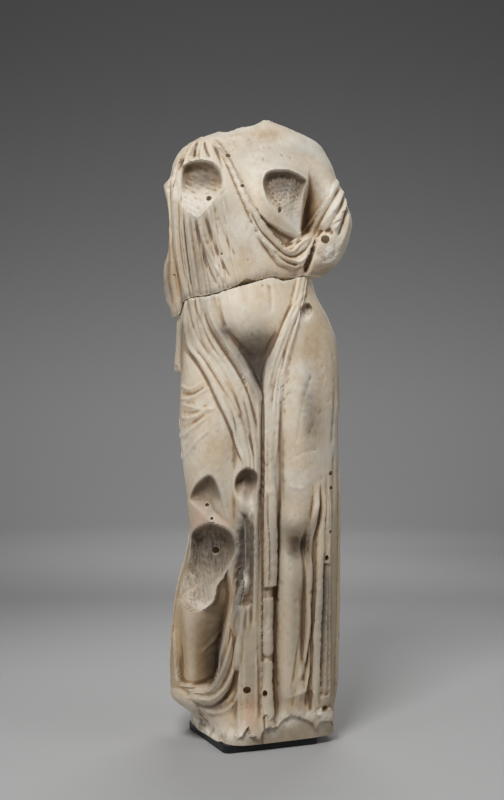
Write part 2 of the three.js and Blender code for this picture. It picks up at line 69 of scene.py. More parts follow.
def smoothStep(start, end, value):
    # 0 at start and 1 at end, with 3t^2 - 2t^3 between
    t = np.clip((value - start) / (end - start), 0.0, 1.0)
    return t * t * (3.0 - 2.0 * t)


def curveThrough(points):
    # cubic pieces through (place, value) pairs, with central slopes, level beyond the ends
    place, value = np.array(points, float).T
    slope = np.empty_like(value)
    slope[1:-1] = (value[2:] - value[:-2]) / (place[2:] - place[:-2])
    slope[0] = (value[1] - value[0]) / (place[1] - place[0])
    slope[-1] = (value[-1] - value[-2]) / (place[-1] - place[-2])

    def at(q):
        q = np.clip(np.asarray(q, float), place[0], place[-1])
        i = np.clip(np.searchsorted(place, q, side="right") - 1, 0, len(place) - 2)
        step = place[i + 1] - place[i]
        t = (q - place[i]) / step
        rise = (3.0 - 2.0 * t) * t * t
        bend = step * t * (1.0 - t) * (slope[i] * (1.0 - t) - slope[i + 1] * t)
        return value[i] * (1.0 - rise) + value[i + 1] * rise + bend
    return at


def swelling(x, z, centreX, centreZ, radiusX, radiusZ):
    # bell: exp of minus the squared distance in radii
    return np.exp(-((x - centreX) / radiusX) ** 2 - ((z - centreZ) / radiusZ) ** 2)


def bellsOf(x, z, bells):
    # sum of bells, each with its height in mm, centre and radii
    return sum(height * swelling(x, z, *place) for height, *place in bells.values())


def ridge(x, line, halfWidth):
    # bell across a line
    return np.exp(-((x - line) / halfWidth) ** 2)


def roundedLine(points, closed=False, steps=5):
    # Catmull-Rom curve through given points
    p = np.array(points, float)
    if closed:
        p = np.vstack([p[-1], p, p[0], p[1]])
    else:
        p = np.vstack([2 * p[0] - p[1], p, 2 * p[-1] - p[-2]])
    a, b, c, d = p[:-3, None], p[1:-2, None], p[2:-1, None], p[3:, None]
    t = (np.arange(steps) / steps)[None, :, None]
    curve = 0.5 * (2 * b + (c - a) * t + (2 * a - 5 * b + 4 * c - d) * t ** 2
                   + (3 * b - a - 3 * c + d) * t ** 3)
    curve = curve.reshape(-1, 2)
    return curve if closed else np.vstack([curve, p[-2]])


def lineDistance(u, v, line):
    # distance to the nearest piece of an open line, how far along it that is, and the side
    best = np.full(u.shape, 1e9)
    share = np.zeros(u.shape)
    side = np.zeros(u.shape)
    steps = np.hypot(*(line[1:] - line[:-1]).T)
    start = np.concatenate([[0.0], np.cumsum(steps)])
    for i, length in enumerate(steps):
        ex, ey = (line[i + 1] - line[i]) / max(length, 1e-9)
        du, dv = u - line[i, 0], v - line[i, 1]
        t = np.clip(du * ex + dv * ey, 0.0, length)
        distance = np.hypot(du - t * ex, dv - t * ey)
        nearer = distance < best
        best = np.where(nearer, distance, best)
        share = np.where(nearer, (start[i] + t) / start[-1], share)
        side = np.where(nearer, np.sign(du * ey - dv * ex), side)
    return best, share, side


def insideOutline(u, v, outline):
    # signed distance to a closed outline, positive inside
    closed = np.vstack([outline, outline[:1]])
    best = lineDistance(u, v, closed)[0]
    inside = np.zeros(u.shape, bool)
    for (au, av), (bu, bv) in zip(closed[:-1], closed[1:]):
        if av != bv:
            inside ^= ((av > v) != (bv > v)) & (u < au + (v - av) / (bv - av) * (bu - au))
    return np.where(inside, best, -best)


def chance(i, j, seed):
    # an even spread of numbers from 0 to 1 for each cell: the fraction of a large sine
    return np.mod(np.sin(i * 12.9898 + j * 78.233 + seed * 37.719) * 43758.5453, 1.0)


def dents(u, v, cell, length, width, turn, seed, share=1.0):
    # oval bells, one a cell, on a lattice turned by `turn` degrees, each moved a little by chance
    c, s = math.cos(math.radians(turn)), math.sin(math.radians(turn))
    along, across = (u * c + v * s) / (cell * length), (-u * s + v * c) / (cell * width)
    total = np.zeros(np.shape(u))
    for stepAcross in (-1, 0, 1):
        row = np.floor(across) + stepAcross
        shift = chance(row, 0 * row, seed)
        for stepAlong in (-1, 0, 1):
            column = np.floor(along + shift) + stepAlong
            size = 0.55 + 0.45 * chance(column, row, seed + 1)
            a = along + shift - column - 0.25 - 0.5 * chance(column, row, seed + 2)
            b = across - row - 0.25 - 0.5 * chance(column, row, seed + 3)
            there = chance(column, row, seed + 4) < share
            total = np.maximum(total, there * size * np.exp(-(a / 0.34) ** 2 - (b / 0.34) ** 2))
    return total


def uneven(x, y, z, wave, seed):
    # slow swelling in three directions: a mean of crossed sines, from -1 to 1
    k = 2 * math.pi / wave
    a = np.sin(k * (x + 0.6 * z) + seed) * np.sin(k * (0.8 * y - 0.5 * z) + 2.1 * seed)
    b = np.sin(k * (1.7 * x - 0.9 * y) + 1.3 * seed) * np.sin(k * (1.3 * z + 0.4 * x) + 0.7 * seed)
    return 0.6 * a + 0.4 * b


def folds(across, along, band):
    # half sine waves side by side between two edges, raised to a power below 1 for narrow grooves
    low, high = band["low"](along), band["high"](along)
    share = (across - low) / (high - low)
    fade = band.get("fade", 50)
    seed = band.get("seed", 0.0)
    place = share * band["count"]
    place = place + band.get("drift", 0.15) * np.sin(2.3 * place + seed)
    height = band["height"] * (1 + band.get("vary", 0.3) * np.sin(2.1 * np.floor(place) + 5 * seed))
    height = height * (1 - band.get("soften", 0.0) * np.clip(share, 0, 1))
    wave = np.abs(np.sin(math.pi * place)) ** band.get("power", 0.8)
    reach = (smoothStep(band["from"], band["from"] + fade, along)
             * smoothStep(band["to"], band["to"] - fade, along))
    rim = smoothStep(0, band.get("rim", 0.1), share) * smoothStep(1, 1 - band.get("rim", 0.1), share)
    return np.where((share > 0) & (share < 1), reach * (rim * band.get("raised", 0.0) + height * wave), 0.0)


def strokes(u, v, lines):
    # bells along given lines, thinner toward their ends; negative heights cut grooves
    total = np.zeros(u.shape)
    for halfWidth, height, points in lines:
        line = roundedLine(points)
        reach = 3 * halfWidth
        low, high = line.min(0) - reach, line.max(0) + reach
        near = (u > low[0]) & (u < high[0]) & (v > low[1]) & (v < high[1])
        distance, share, _ = lineDistance(u[near], v[near], line)
        ends = smoothStep(0.0, 0.12, share) * smoothStep(1.0, 0.88, share)
        total[near] += height * np.exp(-(distance / halfWidth) ** 2) * (0.25 + 0.75 * ends)
    return total


# Plain sections, the same as the solids'

lowerBody = {
    "columns": 312,
    "rows": 290,
    "from": figure["drawnFloor"],
    "to": 1100.0,
    "left": curveThrough([(18, -185), (156, -193), (342, -177), (432, -154), (537, -142), (655, -162),
                          (756, -170), (925, -167), (1010, -161), (1090, -146)]),
    "right": curveThrough([(18, 194), (265, 201), (702, 204), (796, 207), (925, 202), (983, 184), (1040, 154),
                           (1095, 136)]),
    "front": curveThrough([(18, -112), (300, -108), (550, -116), (850, -112), (1000, -108), (1090, -96)]),
    "back": curveThrough([(18, 150), (300, 126), (500, 118), (850, 128), (1000, 108), (1090, 92)]),
    "power": curveThrough([(18, 3.4), (500, 2.9), (900, 2.4), (1090, 2.3)]),
}
upperBody = {
    "columns": 430,
    "rows": 236,
    "from": 984.0,
    "to": 1482.0,
    "left": curveThrough([(980, -160), (1060, -170), (1160, -186), (1341, -191), (1390, -168), (1421, -121),
                          (1452, -66), (1480, -46)]),
    "right": curveThrough([(980, 130), (1120, 146), (1271, 176), (1321, 186), (1360, 182), (1406, 156),
                           (1442, 84), (1456, 50), (1480, 38)]),
    "front": curveThrough([(980, -96), (1120, -100), (1260, -116), (1320, -98), (1400, -50), (1480, -26)]),
    "back": curveThrough([(980, 98), (1060, 94), (1250, 112), (1330, 112), (1420, 82), (1480, 66)]),
    "power": curveThrough([(980, 2.3), (1250, 2.7), (1350, 2.6), (1480, 2)]),
}
footBlock = {"turn": 24, "left": 118, "right": 172, "front": 140, "back": 142, "power": 5, "top": 112,
             "full": 34}


def superellipse(angle, halfWide, halfDeep, power):
    # radius = (|sin/a|^n + |cos/b|^n)^(-1/n), with the angle measured from the front
    s, c = np.sin(angle), np.cos(angle)
    radius = (np.abs(s / halfWide) ** power + np.abs(c / halfDeep) ** power) ** (-1 / power)
    return radius * s, -radius * c


def bodySection(body, angle, z):
    # superellipse between the body's left, right, front and back at that height
    left, right = body["left"](z), body["right"](z)
    axis = figure["bodyAxis"]
    deep = np.where(np.cos(angle) > 0, axis - body["front"](z), body["back"](z) - axis)
    x, y = superellipse(angle, (right - left) / 2, deep, body["power"](z))
    return (left + right) / 2 + x, axis + y


def lowerSection(angle, z):
    # the body's section, turning into the foot block's turned rounded rectangle at the bottom
    turn = math.radians(footBlock["turn"])
    own = angle - turn
    wide = np.where(np.sin(own) > 0, footBlock["right"], footBlock["left"])
    deep = np.where(np.cos(own) > 0, footBlock["front"], footBlock["back"])
    u, v = superellipse(own, wide, deep, footBlock["power"])
    blockX, blockY = u * math.cos(turn) - v * math.sin(turn), u * math.sin(turn) + v * math.cos(turn)
    bodyX, bodyY = bodySection(lowerBody, angle, z)
    block = smoothStep(footBlock["top"], footBlock["full"], z)
    return bodyX + (blockX - bodyX) * block, bodyY + (blockY - bodyY) * block


def columnAngles(columns, section, backShare=0.24):
    # angles from the front at even steps of the middle section's outline, wider apart behind
    edge = np.linspace(-math.pi, math.pi, 6001)
    middle = (edge[1:] + edge[:-1]) / 2
    x, y = section(edge)
    weight = np.hypot(np.diff(x), np.diff(y)) * (
        backShare + (1 - backShare) * smoothStep(-0.35, 0.25, np.cos(middle)))
    total = np.concatenate([[0.0], np.cumsum(weight)])
    return np.interp(np.arange(columns) / columns * total[-1], total, edge)


def pictureOf(x, y, z):
    # picture place of a drawn point: offset over distance, times the focal length
    distance = y * mm + viewer["distance"]
    height = stoneLow[2] + (z - figure["drawnFloor"]) * mm
    u = viewer["pictureWide"] / 2 + viewer["focalPixels"] * x * mm / distance
    v = viewer["pictureTall"] / 2 - viewer["focalPixels"] * (height - viewer["height"]) / distance
    return u, v


def outwardNormals(x, y):
    # level normals of each row: its tangent turned a quarter
    tx, ty = np.roll(x, -1, 1) - np.roll(x, 1, 1), np.roll(y, -1, 1) - np.roll(y, 1, 1)
    length = np.hypot(tx, ty)
    return ty / length, -tx / length


def startSkin(body, section):
    # rows by columns of points on the plain sections
    z = np.linspace(body["from"], body["to"], body["rows"] + 1)[:, None]
    across = columnAngles(body["columns"], lambda angle: bodySection(body, angle,
                                                                     (body["from"] + body["to"]) / 2))
    angle = np.broadcast_to(across, (body["rows"] + 1, body["columns"])).copy()
    z = np.broadcast_to(z, angle.shape).copy()
    x, y = section(angle, z)
    return {"x": x, "y": y, "z": z, "plainX": x, "plainY": y, "degrees": np.degrees(angle)}


def pushOut(skin, carve):
    # moves each point along its level normal by what carve gives there
    nx, ny = outwardNormals(skin["x"], skin["y"])
    skin["front"] = smoothStep(0.05, 0.45, -ny)
    out = carve(skin)
    skin["x"] = skin["x"] + nx * out
    skin["y"] = skin["y"] + ny * out


# Masses and cloth of the lower fragment

waistBundle = {
    "low": curveThrough([(560, -26), (641, -21), (720, -45), (808, -82), (880, -120), (930, -156),
                         (1090, -160)]),
    "high": curveThrough([(560, 22), (800, 24), (834, 10), (880, -17), (961, -66), (1010, -82), (1070, -95)]),
    "from": 560, "to": 2000, "count": 5, "height": 3.2, "raised": 6, "seed": 0.4, "power": 1.1, "rim": 0.14,
}
hipBundle = {
    "low": curveThrough([(560, 26), (800, 26), (873, 34), (943, 60), (1022, 90), (1080, 104)]),
    "high": curveThrough([(560, 62), (661, 60), (841, 78), (954, 106), (1022, 122), (1095, 132)]),
    "from": 640, "to": 2000, "count": 3, "height": 1.9, "raised": 4, "seed": 1.1, "power": 1.1, "rim": 0.25,
}
shinFolds = {
    "low": curveThrough([(18, 84), (90, 92), (220, 114), (480, 132), (700, 148), (960, 146), (1095, 134)]),
    "high": curveThrough([(60, 184), (640, 182)]),
    "from": 60, "to": 620, "count": 3, "height": 7, "raised": 3, "fade": 80, "seed": 2.0, "power": 1.0,
}
swagFolds = {
    "low": curveThrough([(-140, 108), (-104, 92), (-75, 98), (-47, 138), (-27, 190), (-8, 380)]),
    "high": curveThrough([(-150, 136), (-98, 136), (-67, 208), (-54, 275), (-34, 420)]),
    "from": -150, "to": -6, "count": 1, "height": 3, "raised": 7, "fade": 18, "seed": 0.2, "power": 1.0,
}
brokenStrap = {
    "low": curveThrough([(300, 25), (800, 28)]),
    "high": curveThrough([(300, 52), (800, 54)]),
    "from": 367, "to": 2000, "count": 1, "height": 3, "raised": 9, "fade": 6, "drift": 0.0, "vary": 0.0,
    "power": 0.6,
    "rim": 0.14,
}
sideFolds = {
    "low": curveThrough([(0, 72), (900, 84)]),
    "high": curveThrough([(0, 112), (900, 113)]),
    "from": 40, "to": 700, "count": 4, "height": 6, "fade": 120, "seed": 0.6,
}
leftFolds = {
    "low": curveThrough([(0, -122), (1000, -116)]),
    "high": curveThrough([(0, -91), (1000, -92)]),
    "from": 30, "to": 880, "count": 3, "height": 5.5, "fade": 160, "seed": 1.6, "drift": 0.3, "power": 1.0,
    "rim": 0.3,
}
backFolds = {
    "low": curveThrough([(0, 112), (1090, 114)]),
    "high": curveThrough([(0, 240), (500, 243), (1090, 240)]),
    "from": -200, "to": 3000, "count": 8, "height": 10, "seed": 0.9, "vary": 0.4, "drift": 0.3,
}
lowerForms = {
    "bells": {"belly": (14, 2, 978, 95, 60), "knee": (17, 94, 522, 34, 34),
              "kneeHollow": (-25, 110, 458, 29, 30)},
    "calfHollow": [(-44, 350), (-58, 275), (-72, 214), (-86, 150), (-112, 137), (-142, 138), (-170, 143),
                   (-179, 190), (-179, 280), (-170, 340), (-150, 398), (-112, 436), (-60, 440)],
    "shinGroove": curveThrough([(40, 54), (350, 54), (600, 62), (760, 62)]),
    "shinGrooveDepth": curveThrough([(30, 10), (120, 28), (340, 28), (430, 18), (560, 9), (600, 3), (640, 0),
                                     (800, 0)]),
    "shinGrooveWidth": curveThrough([(60, 10), (420, 10), (520, 5), (800, 4)]),
    "shinRidge": curveThrough([(60, 82), (250, 84), (460, 90)]),
    "freeThigh": curveThrough([(450, -98), (600, -96), (900, -92)]),
    "standingThigh": curveThrough([(450, 92), (600, 104), (900, 128)]),
    "freeCalf": curveThrough([(120, -142), (300, -130), (480, -108)]),
    "centreGroove": curveThrough([(30, 18), (340, 16), (600, 22), (800, 25)]),
}


def lowerMasses(skin):
    # sum of bells for belly, thighs, knee, shin and calf, less the hollows between them
    x, z = skin["x"], skin["z"]
    forms = lowerForms
    between = np.minimum(x - waistBundle["high"](z), hipBundle["low"](z) - x)
    besideShin = np.abs(x - forms["shinRidge"](z))
    inHollow = insideOutline(x, z, roundedLine(forms["calfHollow"], True))
    hollow = 10 + 60 * smoothStep(-150, -70, x) * smoothStep(430, 220, z) + 18 * smoothStep(300, 170, z)
    calf = 26 * ridge(x, forms["freeCalf"](z), 42) * smoothStep(70, 135, z) * smoothStep(520, 380, z)
    out = bellsOf(x, z, forms["bells"])
    out -= smoothStep(-2, 12, between) * (5 + 27 * smoothStep(968, 888, z)) * smoothStep(1030, 960, z)
    out += 26 * ridge(x, forms["freeThigh"](z), 62) * smoothStep(380, 560, z) * smoothStep(960, 700, z)
    out += 14 * ridge(x, forms["standingThigh"](z), 52) * smoothStep(470, 600, z) * smoothStep(980, 800, z)
    out += 20 * ridge(x, forms["shinRidge"](z), 26) * smoothStep(60, 140, z) * smoothStep(500, 420, z)
    out -= (14 * smoothStep(22, 34, besideShin) * smoothStep(70, 54, besideShin)
            * smoothStep(80, 200, z) * smoothStep(560, 440, z))
    out -= (forms["shinGrooveDepth"](z) * ridge(x, forms["shinGroove"](z), forms["shinGrooveWidth"](z))
            * smoothStep(30, 80, z) * smoothStep(860, 780, z))
    hollowEdge = 5 + 11 * smoothStep(150, 220, z)
    out -= (hollow * smoothStep(-2, hollowEdge, inHollow)
            - calf * smoothStep(-4, 4, inHollow)) * skin["besideSocket"]
    out += (26 * smoothStep(-42, -16, x) * smoothStep(72, 44, x) * smoothStep(840, 600, z)
            * (0.45 + 0.55 * smoothStep(20, 130, z)))
    return out * skin["front"]


def lowerCloth(skin):
    # folded bands in front, at the side and behind, and the broken mantle edge at the left hip
    x, z, degrees = skin["x"], skin["z"], skin["degrees"]
    behind = np.where(degrees > 0, degrees, degrees + 360)
    out = folds(x, z, waistBundle) + folds(x, z, hipBundle) + folds(x, z, shinFolds)
    out += (folds(z, x, swagFolds)
            + folds(x, z, brokenStrap) * smoothStep(760, 585, z) * (1 - 0.7 * smoothStep(586, 606, z)))
    out -= ((3 + 3 * smoothStep(300, 560, z)) * ridge(x, lowerForms["centreGroove"](z), 5)
            * smoothStep(820, 740, z) * smoothStep(40, 120, z))
    out *= skin["front"]
    swing = 2.5 * np.sin(z / 130 + 1) + 1.2 * np.sin(z / 57)
    out += (folds(degrees, z, sideFolds) + folds(degrees + swing, z, leftFolds)
            + folds(behind + swing, z, backFolds))
    wavy = degrees + 3.5 * np.sin(z / 42) + 2 * np.sin(z / 17)
    brokenOff = 862 + 10 * np.sin(degrees * 0.31) + 5 * np.sin(degrees * 0.9)
    out += (22 * smoothStep(-90, -97, degrees) * smoothStep(-148, -108, wavy)
            * smoothStep(brokenOff - 4, brokenOff + 4, z) * (0.85 + 0.15 * np.sin(degrees * 0.55)))
    return out


# Masses and cloth of the upper fragment

chestFolds = {
    "low": curveThrough([(1000, -172), (1200, -190), (1300, -186), (1400, -150)]),
    "high": curveThrough([(1000, -10), (1150, -44), (1250, -60), (1400, -90)]),
    "from": 900, "to": 1420, "count": 11, "height": 4.6, "soften": 0.7, "seed": 0.3, "rim": 0.04,
    "drift": 0.3,
    "power": 0.8,
}
mantleFolds = {
    "low": curveThrough([(900, -148), (1480, -150)]),
    "high": curveThrough([(900, -93), (1480, -92)]),
    "from": 900, "to": 1370, "count": 5, "height": 7, "seed": 0.1, "rim": 0.03, "drift": 0.35, "fade": 90,
}
upperBackFolds = {
    "low": curveThrough([(900, 120), (1480, 122)]),
    "high": curveThrough([(900, 240), (1480, 236)]),
    "from": -200, "to": 1420, "count": 8, "height": 9, "seed": 0.9, "vary": 0.4, "drift": 0.3,
}
upperForms = {
    "bells": {"rightBreast": (26, 76, 1262, 48, 46), "leftBreast": (22, -104, 1262, 52, 52),
              "besideBreast": (-22, 134, 1232, 15, 52), "betweenBreasts": (-8, -10, 1290, 40, 60)},
    "armStump": curveThrough([(1060, 0), (1096, 34), (1120, 58), (1160, 72), (1215, 72), (1260, 50),
                              (1320, 14), (1380, 0)]),
    "hangingMantle": curveThrough([(960, 26), (998, 33), (1029, 40), (1055, 42), (1099, 39), (1146, 19),
                                   (1165, 12), (1221, 1), (1254, 3), (1300, 18), (1312, 20), (1332, 4),
                                   (1350, 0), (1480, 0)]),
}


def upperMasses(skin):
    # bells for the breasts, less the hollows beside and between them, plus arm stump and mantle
    x, z, degrees = skin["x"], skin["z"], skin["degrees"]
    out = bellsOf(x, z, upperForms["bells"]) * skin["front"]
    out += upperForms["armStump"](z) * smoothStep(52, 76, degrees) * smoothStep(128, 106, degrees)
    wavy = degrees + 3.5 * np.sin(z / 42) + 2 * np.sin(z / 17)
    slanted = z + 0.9 * np.clip(-100 - degrees, 0, 60)
    out += (upperForms["hangingMantle"](slanted) * smoothStep(-90.5, -100, degrees)
            * smoothStep(-152, -110, wavy))
    return out


def upperCloth(skin):
    # folded bands in front, on the hanging mantle and behind
    x, z, degrees = skin["x"], skin["z"], skin["degrees"]
    behind = np.where(degrees > 0, degrees, degrees + 360)
    out = folds(x, z, chestFolds) * skin["front"]
    swing = 2.5 * np.sin(z / 130 + 1) + 1.2 * np.sin(z / 57)
    return out + folds(degrees, z, mantleFolds) + folds(behind + swing, z, upperBackFolds)


# Fine carving, laid out in picture places. Panels: width of the edge, height in mm, outline.

upperPanels = {
    "roll": (2.6, 5.5, [(214, 138), (222, 147), (232, 163), (241, 183), (251, 203), (261, 219), (273, 234),
                        (284, 247), (291, 249), (299, 242), (308, 230), (318, 214), (328, 197), (336, 179),
                        (341, 176), (344, 190), (347, 205), (339, 222), (328, 230), (318, 242), (311, 258),
                        (305, 268), (290, 271), (279, 266), (264, 246), (252, 224), (241, 198), (230, 173),
                        (221, 155), (211, 142)]),
    "underBreast": (4.0, -13, [(255, 205), (264, 217), (276, 225.5), (288, 232), (298, 237), (294, 246),
                               (287, 249), (280, 243), (270, 232), (260, 219)]),
    "armBreak": (3.5, -4, [(318, 240), (323, 231), (332, 230), (338, 238), (339, 252), (333, 262), (322, 263),
                           (315, 256)]),
}
flatAreas = {  # cut back to the plain section: width of the edge and outline
    "plinthFace": (1.0, [(260, 752), (260, 739), (263, 731), (268, 728), (275, 727), (277, 727), (281, 720.4),
                         (291, 714), (301, 716.5), (308, 720), (313, 722), (315.4, 729), (320, 720.5),
                         (331.5, 720.5), (334, 728), (342, 733), (342, 752)]),
    "hemNotch": (1.0, [(234, 755), (234, 743), (238, 738), (242, 737), (246, 729), (249, 727), (252, 737),
                       (256, 736), (259, 740), (262, 740), (262, 755)]),
}
lowerPanels = {
    "roughStrap": (1.0, 4, [(262, 597), (273, 597), (273, 654), (267, 657), (262, 654)]),
    "smoothStrap": (1.6, 5, [(260.5, 662), (266, 658), (272, 661), (273, 664), (272, 680), (273, 700),
                             (275, 716), (270, 720), (266, 716), (261, 718)]),
    "curtainHollow": (6.0, -15, [(234, 535), (239, 511), (250, 514), (256, 528), (256, 580), (253, 604),
                                 (246, 612), (240, 606), (238, 590), (234, 565)]),
    "tongue": (3.0, 5, [(242, 518), (252, 511), (253.5, 540), (253, 584), (249, 600), (244.5, 588),
                        (242, 555)]),
    "stub": (2.5, 7, [(318, 706), (330, 706), (333, 712), (332, 721), (320, 721), (317, 714)]),
    "bevelFace": (2.0, 5, [(170, 686), (182, 688), (196, 701), (203, 719), (210, 731), (226, 742), (214, 744),
                           (190, 722), (172, 702)]),
    "sideBreak": (1.2, -6, [(322, 562), (331, 562), (331, 600), (329, 640), (328, 696), (319, 696),
                            (319, 640), (321, 600)]),
}

# Lines: half width, height in mm, and the line's places
upperLines = {
    "roll": [
        (1.7, 3, [(216, 143), (226, 157), (235, 173), (246, 195), (257, 215), (268, 231), (282, 247),
                  (290, 252), (298, 246), (310, 236), (318, 220)]),
        (1.4, -5, [(247, 207), (254, 219), (260, 230), (270, 241), (282, 253), (291, 257), (300, 254),
                   (309, 246), (315, 234)]),
        (1.8, 4, [(249, 220), (256, 233), (266, 244), (276, 252.5), (284, 258.5), (292, 261.5), (300, 262),
                  (307, 257), (313, 246)]),
        (1.7, 3.5, [(271, 248), (278, 258), (286, 265), (294, 266.5)]),
        (2.0, -6, [(274, 251), (282, 259), (290, 264), (298, 265)]),
        (1.5, -1.5, [(222, 153), (230, 173), (241, 199), (252, 224), (262, 244), (276, 264), (286, 272)]),
    ],
    "sleeve": [
        (1.9, 5.5, [(337, 178), (328, 198), (317, 214), (306, 226), (298, 235)]),
        (1.7, -6.5, [(339, 187), (334, 198), (324, 215), (317, 228), (310, 244)]),
        (1.7, 4.5, [(341, 188), (338, 202), (330, 217), (321, 229)]),
        (1.5, -6, [(343, 192), (341, 205), (334, 220), (328, 231)]),
        (1.7, 4.5, [(344.5, 196), (344, 208), (339, 222), (334, 231)]),
        (1.5, -5, [(346, 203), (346, 213), (342, 226), (338, 237)]),
        (1.7, 4.5, [(348, 210), (348, 222), (344, 236), (340, 247)]),
        (2.4, -17, [(322, 227), (316, 242), (311, 256), (305, 274)]),
        (2.2, -7, [(322, 232), (328, 230), (334, 233)]),
        (1.7, 4, [(338, 175), (341, 176)]),
    ],
    "chest": [
        (1.5, 5, [(174, 170), (176, 205), (179, 250), (186, 296)]),
        (1.4, -5.5, [(177, 178), (179, 215), (182, 255), (190, 296)]),
        (1.5, 4.5, [(181, 219), (184, 251), (188, 290)]),
        (1.4, -5.5, [(184, 216), (187, 245), (193, 290)]),
        (1.5, 4.5, [(188, 214), (191, 240), (196, 275), (199, 297)]),
        (1.5, -6.5, [(194, 217), (200, 240), (207, 264), (219, 287)]),
        (1.9, 6, [(199, 217), (205, 241), (214, 262), (227, 284)]),
        (1.6, -4.5, [(205, 214), (212, 238), (222, 262), (232, 280)]),
        (2.2, 3.5, [(207, 208), (218, 238), (231, 262)]),
        (2.4, 3, [(219, 192), (230, 223), (243, 252)]),
        (2.2, -3, [(214, 203), (224, 232), (236, 258)]),
        (1.5, -3.5, [(197, 141), (195, 150), (194, 158)]),
        (1.5, -3, [(204, 141), (206, 150), (210, 158)]),
        (1.5, -3.5, [(215, 148), (219, 158), (223, 170)]),
        (1.8, -5, [(183, 152), (181, 168), (180, 186), (181, 206)]),
        (1.6, 3, [(178, 160), (177, 180), (177, 205)]),
        (1.5, -6, [(173, 222), (170, 250), (170.5, 285), (175, 308)]),
        (1.4, 4, [(170, 232), (167, 258), (167.5, 290), (171, 310)]),
    ],
}
